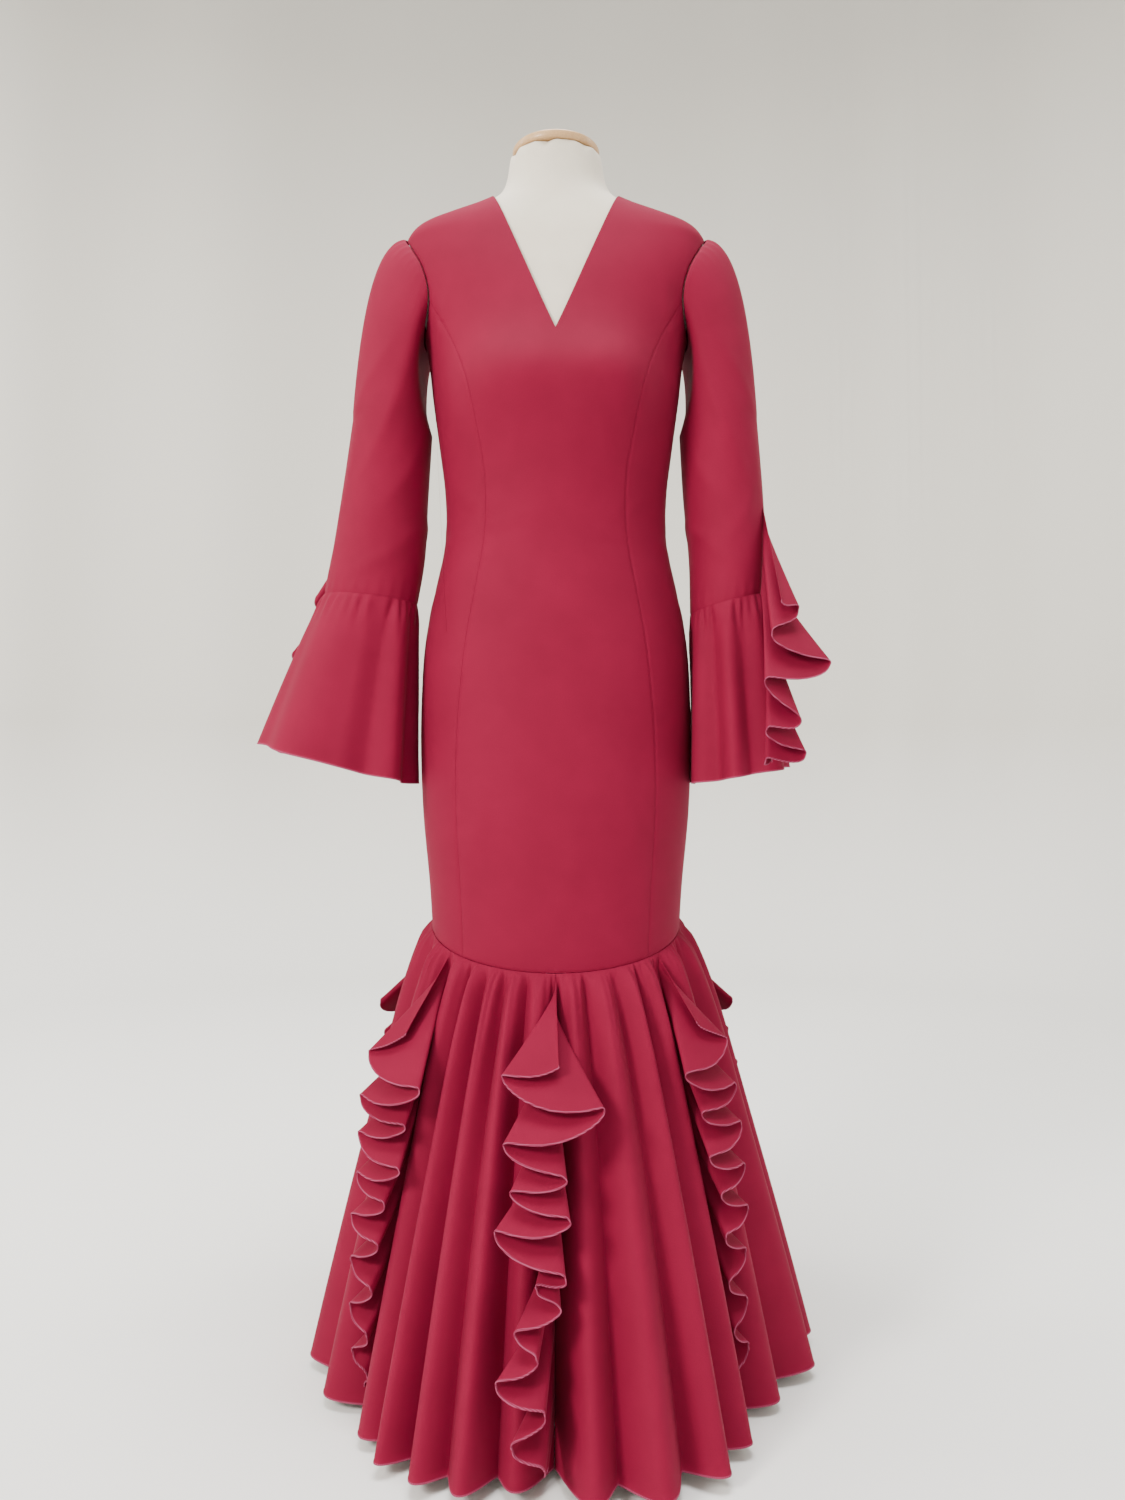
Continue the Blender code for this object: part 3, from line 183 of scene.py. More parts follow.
# Where the fitted cloth pulls: each row is one soft ridge. lean is its angle from level.
PULLS = Table(
    "azimuth height lean length width rise",
    [
        (-22, 0.992, 14, 0.050, 0.0090, 1.3), (18, 0.978, -11, 0.045, 0.0080, 1.2),
        (-30, 0.955, 24, 0.042, 0.0080, 0.9), (27, 0.948, -22, 0.046, 0.0085, 1.0),
        (-8, 1.030, -9, 0.040, 0.0080, 0.8), (40, 1.012, 18, 0.040, 0.0080, 1.1),
        (-46, 1.018, -16, 0.042, 0.0080, 1.2), (-62, 0.978, 10, 0.044, 0.0085, 1.4),
        (64, 0.970, -12, 0.046, 0.0085, 1.3), (-58, 1.222, 52, 0.036, 0.0075, 1.2),
        (57, 1.226, -50, 0.036, 0.0075, 1.2), (-47, 1.248, 60, 0.030, 0.0070, 0.9),
        (48, 1.250, -62, 0.032, 0.0070, 0.9), (-20, 1.085, 70, 0.038, 0.0090, 0.6),
        (24, 1.088, -72, 0.040, 0.0090, 0.6), (-100, 0.985, 8, 0.050, 0.0090, 1.4),
        (102, 0.990, -9, 0.048, 0.0090, 1.3), (-152, 0.974, 9, 0.055, 0.0095, 1.5),
        (150, 0.986, -10, 0.055, 0.0095, 1.5), (-165, 1.022, -12, 0.040, 0.0090, 1.0),
        (166, 0.944, 10, 0.045, 0.0090, 1.1), (-140, 1.235, -50, 0.040, 0.0080, 1.0),
        (141, 1.232, 50, 0.040, 0.0080, 1.0), (-78, 0.905, 30, 0.050, 0.0110, 0.9),
        (76, 0.900, -28, 0.052, 0.0110, 0.9), (-34, 0.640, 76, 0.055, 0.0120, 1.0),
        (31, 0.650, -78, 0.060, 0.0120, 1.0), (8, 0.600, 86, 0.050, 0.0120, 0.8),
    ],
)

PULL_BOW = 2.0  # how much each ridge bends, per metre
BODY_STEPS = 0.5, 0.001  # degrees and metres, for the normals of the body's surface
BODY_RADIUS = 0.145
DIP_ENDS = 0.75  # above this height a panel's rows are level
FRONT_TOP, BACK_TOP = NECK_POINT - 4 * MM, NECK_POINT - 3 * MM  # where the shoulders' seams begin
SEAM_HALF_DEG = 0.06
LEAST_WIDTH_DEG = 0.05  # of a side panel, at its upper tip
SEAM_DEEP, SEAM_WIDE, SEAM_TAUT = 0.55 * MM, 1.8 * MM, 6 * MM  # a pressed seam's groove
PUCKER, PUCKER_EVERY, PUCKER_WIDE = 0.22 * MM, 13 * MM, 7 * MM
PUCKER_DRIFT, PUCKER_DRIFT_EVERY = 2.4, 2.3  # how far puckers stray from even spacing, and how often
PANEL_ACROSS, SIDE_PANEL_ACROSS = 45, 33  # points across a panel
BODY_ROWS, ARMHOLE_ROWS, SHOULDER_ROWS = 118, 44, 34
SEAM_ROWS = np.array([0, 0.5, 1.1, 2.0, 3.2, 5.0]) * MM  # rows above the skirt's seam
LEVEL_ROWS = 7 * MM  # from this far above it the rows are even

# Ridges and valleys of the hem, all the way round. The gore seams lie in the deep valleys.
HEM = Table(
    "azimuth radius",
    [
        (-180, 0.240), (-173, 0.306), (-166, 0.272), (-158, 0.318), (-151, 0.276),
        (-144, 0.314), (-137, 0.272), (-130, 0.304), (-120, 0.232), (-112, 0.298),
        (-105, 0.264), (-98, 0.300), (-91, 0.262), (-84, 0.292), (-75, 0.256),
        (-65, 0.282), (-55, 0.232), (-45, 0.284), (-40, 0.264), (-35.5, 0.306),
        (-31, 0.270), (-26, 0.313), (-21.5, 0.284), (-17, 0.314), (-12, 0.268),
        (-7.5, 0.294), (0, 0.244), (7, 0.318), (12.5, 0.284), (19, 0.330),
        (26, 0.286), (32, 0.320), (37, 0.276), (43, 0.294), (48, 0.262),
        (53, 0.232), (62, 0.278), (70, 0.254), (79, 0.306), (87, 0.270),
        (94, 0.314), (101, 0.272), (108, 0.308), (120, 0.232), (130, 0.302),
        (137, 0.270), (144, 0.314), (151, 0.276), (158, 0.320), (166, 0.274),
        (173, 0.308), (180, 0.240),
    ],
)
GORE_SEAMS = (-180, -120, -55, 0, 53, 120, 180)
SPREAD_POWER = 0.8
HEM_MEAN_RADIUS, HEM_LIFT = 0.285, 0.10
GATHER_OUT, GATHER_START, GATHER_PEAK, GATHER_FADE = 0.0068, 0.035, 0.10, 0.24
RIDGE_FULLNESS = 0.66  # under 1 makes the ridges broad and the valleys sharp
TUCKS, TUCK_OUT = 104, 1.5 * MM  # the fine gathers under the seam, all the way round
TUCK_START, TUCK_LEAST, TUCK_FADE = 0.016, 0.15, 0.15
SKIRT_LENGTH = 0.50
GORE_HELD_DEG = 0.08
GORE_ROWS, GORE_TOP_ROWS = 62, (0, 0.003, 0.007, 0.012, 0.018)
STEPS_A_WAVE = 14

FRONT_CASCADE = Table(
    "root aside length",
    [
        (0.008, 0.004, 0.085), (0.023, -0.056, 0.098), (0.046, 0.052, 0.103),
        (0.074, -0.052, 0.108), (0.102, 0.012, 0.100), (0.122, -0.044, 0.101),
        (0.148, 0.016, 0.092), (0.172, -0.060, 0.098), (0.208, 0.012, 0.084),
        (0.228, -0.018, 0.073), (0.248, 0.006, 0.070), (0.270, -0.038, 0.078),
        (0.293, -0.016, 0.070), (0.319, -0.056, 0.084), (0.348, -0.008, 0.060),
        (0.376, -0.040, 0.070), (0.406, -0.009, 0.052), (0.438, -0.006, 0.032),
    ],
)
SIDE_CASCADE = Table(
    "root aside length",
    [
        (0.006, 0.004, 0.088), (0.018, -0.040, 0.110), (0.050, 0.054, 0.112),
        (0.076, -0.042, 0.102), (0.102, 0.036, 0.094), (0.124, -0.038, 0.092),
        (0.150, 0.040, 0.092), (0.176, -0.030, 0.080), (0.202, 0.024, 0.074),
        (0.226, -0.026, 0.072), (0.252, 0.022, 0.066), (0.280, -0.020, 0.061),
        (0.308, 0.018, 0.057), (0.336, -0.016, 0.053), (0.364, 0.015, 0.049),
        (0.392, -0.012, 0.043), (0.420, 0.008, 0.035), (0.444, -0.003, 0.026),
    ],
)
SKIRT_CASCADES = (  # name, gore seam, where it faces, table, side, scale, lift
    ("cascade_front", 0, 0, FRONT_CASCADE, 1, 1.00, 0.34),
    ("cascade_front_left", -55, -40, SIDE_CASCADE, 1, 0.98, 0.26),
    ("cascade_front_right", 53, 42, SIDE_CASCADE, -1, 0.82, 0.24),
    ("cascade_back_left", -120, -120, SIDE_CASCADE, 1, 0.92, 0.26),
    ("cascade_back_right", 120, 120, SIDE_CASCADE, -1, 0.90, 0.26),
    ("cascade_back", 180, 180, SIDE_CASCADE, -1, 1.12, 0.34),
)
CASCADE_CLEAR = 2.6 * MM  # from the skirt's middle surface to the ruffle's
RISE = 0.16  # a fold that stands out also rises by this share of it
RIDGE_REACH = 1.2  # a fold clears the ridges within this many times its own width
TURN_SHARE, FACE_FLATNESS = 0.35, 0.075  # how round the turns of the zigzag are, and how flat its faces
STEPS_A_FOLD, RUFFLE_ACROSS = 16, 22
RIPPLE, RIPPLES_A_FOLD = 0.7 * MM, 2.0  # the overlocked edge's own small waves
RIB_FLARE = 1.1  # over 1 makes a ruffle flare towards its edge

SLEEVES = {
    "left": Table(
        "height aside centre_y half_x half_y",
        [
            (0.900, 0.2275, -0.012, 0.0570, 0.0500), (0.960, 0.2175, -0.006, 0.0560, 0.0540),
            (1.040, 0.2100, 0.000, 0.0520, 0.0600), (1.130, 0.2010, 0.002, 0.0480, 0.0650),
        ],
    ),
    "right": Table(
        "height aside centre_y half_x half_y",
        [
            (0.890, 0.2085, -0.018, 0.0450, 0.0520), (0.960, 0.2090, -0.010, 0.0460, 0.0550),
            (1.040, 0.2050, -0.002, 0.0480, 0.0600), (1.130, 0.1995, 0.002, 0.0470, 0.0650),
        ],
    ),
}
BICEPS_HEIGHT, BICEPS_TILT = 1.130, 0.012
HEAD_OUT, CAP_OUT, CAP_POWER = 0.014, 0.036, 0.7
CAP_UP, UNDERARM_DOWN = 0.004, 0.030
SLEEVE_SETTLED = 0.38
ARMHOLE_OUT, ARMHOLE_OUT_DEG = 0.001, 0.6
BODY_CLEAR = 0.004
SLEEVE_AROUND, SLEEVE_RADIUS, SLEEVE_TAUT = 120, 0.055, 10 * MM
SLEEVE_ROWS = np.concatenate([np.linspace(0, 0.1, 9), np.linspace(0.1, 1, 44)[1:], np.linspace(1, 2, 60)[1:]])
EASE_PUCKERS, EASE_OUT, EASE_FADE = 38, 0.8 * MM, 20 * MM  # the sleeve head is eased into the armhole
ELBOW_PUCKERS, ELBOW_OUT, ELBOW_FADE = 24, 0.4 * MM, 16 * MM
PUCKER_START = 3 * MM
BELL_TUCKS, BELL_TUCK_OUT = 25, 2.0 * MM
BELL_TUCK_START, BELL_TUCK_LEAST, BELL_TUCK_FADE = 0.04, 0.1, 0.13
BELL_ROWS, BELL_LENGTH, BELL_TOP_ROWS = 40, 0.20, (0, 0.012, 0.03, 0.05)
STEPS_A_BELL_WAVE = 13
# Soft folds of the sleeves, by the angle round the sleeve and the height
SLEEVE_PULLS = Table(
    "angle height lean length width rise",
    [
        (60, 1.170, 62, 0.045, 0.0090, 1.6), (95, 1.120, 74, 0.060, 0.0100, 1.8),
        (130, 1.060, 60, 0.050, 0.0100, 1.5), (70, 1.010, -58, 0.050, 0.0100, 1.3),
        (110, 0.960, 34, 0.040, 0.0085, 1.2), (40, 1.060, 82, 0.060, 0.0110, 1.2),
        (155, 0.990, 20, 0.040, 0.0080, 1.3), (20, 0.955, 76, 0.036, 0.0090, 1.0),
        (240, 1.120, -68, 0.060, 0.0100, 1.6), (285, 1.030, 72, 0.055, 0.0100, 1.5),
        (320, 1.160, -64, 0.050, 0.0100, 1.4), (215, 0.985, -24, 0.040, 0.0080, 1.2),
    ],
)
FLOUNCES = {
    "left": {
        "seam": 0.912, "seam_tilt": 0.006, "hem": 0.712, "hem_tilt": 0.024,
        "aside": 0.2640, "centre_y": -0.020, "half_x": 0.0920, "half_y": 0.0820,
        "folds": Table(
            "angle out",
            [
                (0, 0.004), (28, -0.006), (62, 0.005), (98, -0.004), (120, -0.010), (140, 0.009),
                (165, -0.008), (190, 0.006), (218, -0.008), (245, 0.008), (272, -0.007),
                (300, 0.008), (332, -0.006), (360, 0.004),
            ],
        ),
        "root_turn": (-54.0, -54.0), "facing": -58.0, "root_top": 1.075,
    },
    "right": {
        "seam": 0.905, "seam_tilt": 0.012, "hem": 0.698, "hem_tilt": 0.010,
        "aside": 0.2170, "centre_y": -0.030, "half_x": 0.0570, "half_y": 0.0800,
        "folds": Table(
            "angle out",
            [
                (0, 0.006), (24, -0.006), (52, 0.008), (82, -0.009), (104, 0.008), (126, -0.009),
                (150, 0.008), (178, -0.006), (206, 0.006), (236, -0.008), (266, 0.008),
                (298, -0.007), (330, 0.007), (360, 0.006),
            ],
        ),
        "root_turn": (72.0, 28.0), "facing": 66.0, "root_top": 1.022,
    },
}
FLOUNCE_POWER, FLOUNCE_FULLNESS, FLOUNCE_SETTLED = 0.9, 0.30, 0.1
SLEEVE_CASCADES = {  # aside is to the front, and lift is how far a fold stands out for what it hangs
    "left": Table(
        "root aside length lift",
        [
            (0.000, 0.000, 0.078, 0.55), (0.026, -0.012, 0.088, 0.55), (0.056, 0.030, 0.100, 0.55),
            (0.090, -0.024, 0.098, 0.55), (0.122, 0.034, 0.104, 0.55), (0.158, -0.026, 0.098, 0.55),
            (0.194, 0.028, 0.098, 0.55), (0.230, -0.024, 0.090, 0.55), (0.264, 0.022, 0.080, 0.55),
            (0.292, -0.014, 0.060, 0.55), (0.314, 0.006, 0.044, 0.55),
        ],
    ),
    "right": Table(
        "root aside length lift",
        [
            (0.000, 0.012, 0.126, 0.42), (0.028, -0.016, 0.108, 0.42), (0.058, 0.024, 0.110, 0.42),
            (0.088, -0.055, 0.122, 0.42), (0.118, 0.032, 0.106, 0.42), (0.152, -0.014, 0.114, 0.42),
            (0.178, 0.026, 0.100, 0.42), (0.206, -0.030, 0.100, 0.42), (0.236, 0.018, 0.075, 0.42),
            (0.262, 0.002, 0.048, 0.42),
        ],
    ),
}
SLEEVE_CASCADE_CLEAR, SLEEVE_CASCADE_HEM_CLEAR = 0.0013, 0.012


def placed(name, data):
    """A new object at the origin."""
    made = bpy.data.objects.new(name, data)
    bpy.context.scene.collection.objects.link(made)
    return made


# Sheets of cloth


def up_to_edge(count, length):
    """Shares from 0 to 1 of each length, with an overlocked edge's own rows at the end."""
    bead = BEAD / np.atleast_1d(length)[:, None]
    plain = np.linspace(0, 1, count)[:-1] * (1 - BEAD_ROWS[0] * bead)
    return np.concatenate([plain, 1 - bead * np.array(BEAD_ROWS)], axis=1)


def closer_at_ends(count):
    """Shares from 0 to 1, closer together at both ends, for a panel between two seams."""
    return 0.5 - 0.5 * np.cos(np.pi * np.linspace(0, 1, count))


def surface_normals(surface, us, vs, step_u, step_v):
    """Unit normals of surface(u, v), from central differences."""
    along_u = surface(us + step_u, vs) - surface(us - step_u, vs)
    along_v = surface(us, vs + step_v) - surface(us, vs - step_v)
    normals = np.cross(along_u, along_v)
    return normals / np.linalg.norm(normals, axis=-1, keepdims=True)


def run(points, axis):
    """Distance along a grid's lines from its first row (axis 0) or column (axis 1)."""
    steps = np.linalg.norm(np.diff(points, axis=axis), axis=-1)
    first = np.zeros_like(np.take(steps, [0], axis=axis))
    return np.concatenate([first, np.cumsum(steps, axis=axis)], axis=axis)


def thread_at(points, overlocked):
    """How much of each point is wrapped in thread, and how thick it makes the sheet there.

    overlocked is the grid's edge that the thread wraps, "bottom" or "last", or None.
    """
    if overlocked is None:
        return np.zeros(points.shape[:2]), np.ones(points.shape[:2])
    along = run(points, 0 if overlocked == "bottom" else 1)
    beads = ((along[-1:] if overlocked == "bottom" else along[:, -1:]) - along) / BEAD
    thread = np.clip((BEAD_ENDS - beads) / BEAD_FADE, 0, 1)
    roll = np.sqrt(np.clip(1 - BEAD_ROUND * (beads - BEAD_MIDDLE) ** 2, 0.1, 1))
    return thread, 1 + (BEAD_SWELL - 1) * thread * roll


def shell_of(name, points, offsets, threads, quads, flats):
    """The two skins of a sheet about its middle points, joined by rims along its free edges."""
    count = len(points)
    edges = np.concatenate([quads[:, [k, (k + 1) % 4]] for k in range(4)])
    edge_flats = np.concatenate([flats[:, [k, (k + 1) % 4]] for k in range(4)])
    known = set(map(tuple, edges))
    free = np.array([(b, a) not in known for a, b in edges])
    rims = np.stack([edges[free, 1], edges[free, 0], edges[free, 0] + count, edges[free, 1] + count], axis=-1)
    rim_flats = edge_flats[free][:, [1, 0, 0, 1]]
    faces = np.concatenate([quads, quads[:, ::-1] + count, rims])
    flats = np.concatenate([flats, flats[:, ::-1], rim_flats])
    skins = np.concatenate([points + offsets, points - offsets])
    a, b, c, d = (skins[faces[:, k]] for k in range(4))
    if np.einsum("ij,ij->", a, np.cross(b, c) + np.cross(c, d)) < 0:
        faces, flats = faces[:, ::-1], flats[:, ::-1]
    mesh = bpy.data.meshes.new(name)
    mesh.from_pydata(skins.tolist(), [], faces.tolist())
    mesh.uv_layers.new(name="flat_cloth").data.foreach_set("uv", flats.astype(np.float32).ravel())
    wrapped_in = mesh.attributes.new("overlock", "FLOAT", "POINT")
    wrapped_in.data.foreach_set("value", np.tile(threads, 2).astype(np.float32))
    mesh.shade_smooth()
    mesh.set_sharp_from_angle(angle=math.radians(70))
    return placed(name, mesh)


def sew(name, grids, wall, overlocked=None, ring=False):
    """A sheet as a thin closed shell about one or more grids of (points, normals).

    Grids join where they share points, and ring joins a grid's last column to its first. The UV map
    gives each point's place on the flat cloth in metres, and the attribute "overlock" is 1 where
    thread wraps the edge. Returns the piece and its cut's width, length and area.
    """
    points, offsets, threads, quads, flats = [], [], [], [], []
    size = np.zeros(3)
    start = 0
    for middle, normals in grids:
        closed = np.concatenate([middle, middle[:, :1]], axis=1) if ring else middle
        rows, columns = middle.shape[:2]
        thread, swell = (made[:, :columns] for made in thread_at(closed, overlocked))
        place = start + np.arange(rows * columns).reshape(rows, columns)
        if ring:
            place = np.concatenate([place, place[:, :1]], axis=1)
        flat = np.stack([run(closed, 1), -run(closed, 0)], axis=-1)
        corners = [np.s_[:-1, :-1], np.s_[:-1, 1:], np.s_[1:, 1:], np.s_[1:, :-1]]
        quads.append(np.stack([place[c] for c in corners], axis=-1).reshape(-1, 4))
        flats.append(np.stack([flat[c] for c in corners], axis=-2).reshape(-1, 4, 2))
        points.append(middle.reshape(-1, 3))
        offsets.append((wall / 2 * swell[..., None] * normals).reshape(-1, 3))
        threads.append(thread.ravel())
        sides = np.diff(closed, axis=0)[:, :-1], np.diff(closed, axis=1)[:-1]
        size += (flat[..., 0].max(), 0, np.linalg.norm(np.cross(*sides), axis=-1).sum())
        size[1] = max(size[1], -flat[..., 1].min())
        start += rows * columns
    points, offsets, threads = (np.concatenate(made) for made in (points, offsets, threads))
    quads, flats = np.concatenate(quads), np.concatenate(flats)
    _, first, same = np.unique(np.round(points / (0.01 * MM)), axis=0, return_index=True, return_inverse=True)
    merged = points[first], offsets[first], threads[first], same.reshape(-1)[quads]
    return shell_of(name, *merged, flats), size


def hang(sewn, node, finish, held, rests_on):
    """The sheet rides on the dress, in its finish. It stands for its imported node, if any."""
    piece, (width, length, area) = sewn
    piece.data.materials.append(finish)
    if node:
        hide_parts(node)
    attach(piece, "dress")
    float(min(area, width * length))
    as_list(rests_on)


# The figure and the fitted body


def figure(azimuth, height):
    """A point of the bare figure."""
    azimuth, height = np.broadcast_arrays(np.asarray(azimuth, float), np.asarray(height, float))
    angle = np.radians(azimuth)
    square = FIGURE.at(height, "square")
    aside = (1 + square) * np.sin(angle) + square * np.sin(3 * angle)
    ahead = (1 + square) * np.cos(angle) - square * np.cos(3 * angle)
    x = FIGURE.at(height, "half_width") * aside
    depth = np.where(ahead > 0, FIGURE.at(height, "front"), FIGURE.at(height, "back"))
    reach = np.hypot(x, BUST_MIDDLE) - BUST_SIDE
    reach = np.where(reach < 0, BUST_CLEFT * reach, reach) / BUST_SPREAD
    bust = BUST_OUT * np.exp(-(reach**2) - ((height - BUST_HEIGHT) / BUST_RISE) ** 2)
    y = FIGURE.at(height, "shift") - depth * ahead - bust * np.clip(3 * ahead, 0, 1)
    return np.stack([x, y, height], axis=-1)


def body(azimuth, height, beyond=0.0):
    """A point of the fitted cloth's middle surface, or beyond it."""
    azimuth, height = np.broadcast_arrays(np.asarray(azimuth, float), np.asarray(height, float))
    normals = surface_normals(figure, azimuth, height, *BODY_STEPS)
    gap = FIGURE.at(height, "ease") + CAD_CLOTH / 2 + beyond
    return figure(azimuth, height) + gap[..., None] * normals


def pulled(table, around, height, radius):
    """How far a table of pulls raises the cloth: each row is one soft, slightly bowed ridge."""
    total = np.zeros(np.broadcast(around, height).shape)
    for centre, level, lean, length, width, rise in table.rows:
        x = np.radians((np.asarray(around) - centre + 180) % 360 - 180) * radius
        z = height - level
        tilt = math.radians(lean)
        along = x * math.cos(tilt) + z * math.sin(tilt)
        across = z * math.cos(tilt) - x * math.sin(tilt) - PULL_BOW * along**2
        total += rise * MM * np.exp(-((along / length) ** 2) - (across / width) ** 2)
    return total


def azimuth_at(x, height):
    """Azimuth, from the centre front or back, at which the figure is this far aside."""
    azimuths = np.linspace(0, 90, 721)
    return float(np.interp(x, figure(azimuths, height)[:, 0], azimuths))


def armhole_azimuth(height):
    """Azimuth of the armhole's edge, forwards or back."""
    share = np.clip(1 - ((height - ARMHOLE_CENTRE) / ARMHOLE_HALF_HEIGHT) ** 2, 0, 1)
    return 90 - ARMHOLE_HALF_DEG * math.sqrt(share)


def skirt_seam(azimuth):
    """Height of the skirt's seam, lowest at the front."""
    return SKIRT_SEAM_MEAN - SKIRT_SEAM_DIP * np.cos(np.radians(azimuth))


def panel_outer(height, which):
    """Azimuth, from the centre front or back, of a centre panel's outer edge."""
    if height < PRINCESS_TOP:
        return float(PRINCESS.at(height, which))
    return armhole_azimuth(height) if height < ARMHOLE_TOP else 90.0


def panel_inner(height, which):
    """Azimuth, from the centre front or back, of a centre panel's inner edge: 0 or the neckline."""
    if which == "front" and height > V_NECK_BOTTOM:
        return azimuth_at(NECK_POINT_X * (height - V_NECK_BOTTOM) / (NECK_POINT - V_NECK_BOTTOM), height)
    if which == "back" and height > BACK_NECK:
        return azimuth_at(NECK_POINT_X * math.sqrt((height - BACK_NECK) / (NECK_POINT - BACK_NECK)), height)
    return 0.0


def panel_rows(top):
    """Heights of a panel's rows: even on the body, and closer where the armhole turns fast."""
    armhole = ARMHOLE_CENTRE - ARMHOLE_HALF_HEIGHT * np.cos(np.linspace(0, math.pi, ARMHOLE_ROWS))
    rows = np.concatenate([
        SKIRT_SEAM_MEAN + SEAM_ROWS,
        np.linspace(SKIRT_SEAM_MEAN + LEVEL_ROWS, V_NECK_BOTTOM, BODY_ROWS),
        np.linspace(V_NECK_BOTTOM, armhole[0], 6)[1:-1],
        armhole,
        [PRINCESS_TOP],
        np.linspace(ARMHOLE_TOP, NECK_POINT, SHOULDER_ROWS),
    ])
    rows = np.unique(np.round(rows, 6))
    return np.append(rows[rows < top - 0.4 * MM], top)


def panel_grid(rows, edges, across, sewn):
    """Points and normals of a panel between the two azimuths that edges(height) gives.

    sewn names its sides that are seams: there the cloth is pressed into a groove and puckers.
    """
    starts, ends = np.array([edges(height) for height in rows]).T
    azimuths = starts[:, None] + (ends - starts)[:, None] * across
    heights = np.repeat(rows[:, None], len(across), axis=1)
    share = np.clip((DIP_ENDS - heights) / (DIP_ENDS - SKIRT_SEAM_MEAN), 0, 1)
    heights = heights + (skirt_seam(azimuths) + SKIRT_SEAM_GAP / 2 - SKIRT_SEAM_MEAN) * share
    plain = body(azimuths, heights)
    sideways, up = run(plain, 1), run(plain, 0)
    from_seam = {"first": sideways, "last": sideways[:, -1:] - sideways, "bottom": up}
    relief = pulled(PULLS, azimuths, heights, BODY_RADIUS)
    for side in sewn:
        near = from_seam[side]
        relief *= 1 - np.exp(-((near / SEAM_TAUT) ** 2))
        along = up if side != "bottom" else sideways
        drift = PUCKER_DRIFT * np.sin(along / (PUCKER_DRIFT_EVERY * PUCKER_EVERY))
        puckers = np.sin(2 * np.pi * along / PUCKER_EVERY + drift)
        relief += PUCKER * puckers * np.exp(-((near / PUCKER_WIDE) ** 2))
        relief -= SEAM_DEEP * np.exp(-((near / SEAM_WIDE) ** 2))
    return body(azimuths, heights, beyond=relief), surface_normals(body, azimuths, heights, *BODY_STEPS)


def front_panel(crepe):
    """The centre front: two halves that share the centre line below the V neck."""
    rows = panel_rows(FRONT_TOP)
    halves = []
    for side in (-1, 1):

        def edges(height):
            return side * panel_inner(height, "front"), side * (panel_outer(height, "front") - SEAM_HALF_DEG)

        points, normals = panel_grid(rows, edges, closer_at_ends(PANEL_ACROSS), ("last", "bottom"))
        points, normals = (made if side > 0 else made[:, ::-1] for made in (points, normals))
        halves.append((points, normals))
    hang(sew("front_panel", halves, CREPE), "front_centre", crepe, "draped", ["dress_form"])


def back_panel(word, crepe):
    """Half of the centre back, up to the zip's slit."""
    side = SIDES[word]

    def edges(height):
        inner = panel_inner(height, "back") + (SEAM_HALF_DEG if height <= BACK_NECK else 0)
        return side * (180 - inner), side * (180 - panel_outer(height, "back") + SEAM_HALF_DEG)

    rows = panel_rows(BACK_TOP)
    grid = panel_grid(rows, edges, closer_at_ends(PANEL_ACROSS), ("first", "last", "bottom"))
    hang(sew(f"back_panel_{word}", [grid], CREPE), f"back_centre_{word}", crepe, "draped", ["dress_form"])


def side_panel(which, word, crepe):
    """The panel between a princess seam and the side seam or armhole."""
    side = SIDES[word]

    def edges(height):
        seam = float(PRINCESS.at(height, which)) + SEAM_HALF_DEG
        edge = max(min(armhole_azimuth(height), 90 - SEAM_HALF_DEG), seam + LEAST_WIDTH_DEG)
        return [side * (azimuth if which == "front" else 180 - azimuth) for azimuth in (seam, edge)]

    across = closer_at_ends(SIDE_PANEL_ACROSS)
    grid = panel_grid(panel_rows(PRINCESS_TOP), edges, across, ("first", "last", "bottom"))
    sewn = sew(f"{which}_side_panel_{word}", [grid], CREPE)
    hang(sewn, f"{which}_side_{word}", crepe, "draped", ["dress_form"])


# The skirt


def wrapped(azimuth):
    """The same azimuth, from -180 to 180."""
    return (np.asarray(azimuth, float) + 180) % 360 - 180


def waves(table, where, name, fullness=1.0):
    """Ridges and valleys joined by half cosines. Fullness under 1 broadens the ridges."""
    xs, ys = table.rows[:, 0], table.column(name)
    low = np.clip(np.searchsorted(xs, where, side="right") - 1, 0, len(xs) - 2)
    t = np.clip((where - xs[low]) / (xs[low + 1] - xs[low]), 0, 1)
    rising = (1 - np.cos(np.pi * t)) / 2
    falling = ys[low + 1] < ys[low]
    share = np.where(falling, 1 - (1 - rising) ** fullness, rising**fullness)
    return ys[low] + (ys[low + 1] - ys[low]) * share


def gathers():
    """Fullness under the seam: proud above each of the hem's ridges, and in above all else."""
    azimuths, radii = HEM.column("azimuth"), HEM.column("radius")
    before, after = np.roll(radii[:-1], 1), np.roll(radii[:-1], -1)
    signs = np.where((radii[:-1] > before) & (radii[:-1] > after), 1.0, -1.0)
    return Table("azimuth out", np.column_stack([azimuths, np.append(signs, signs[0])]))


GATHERS = gathers()


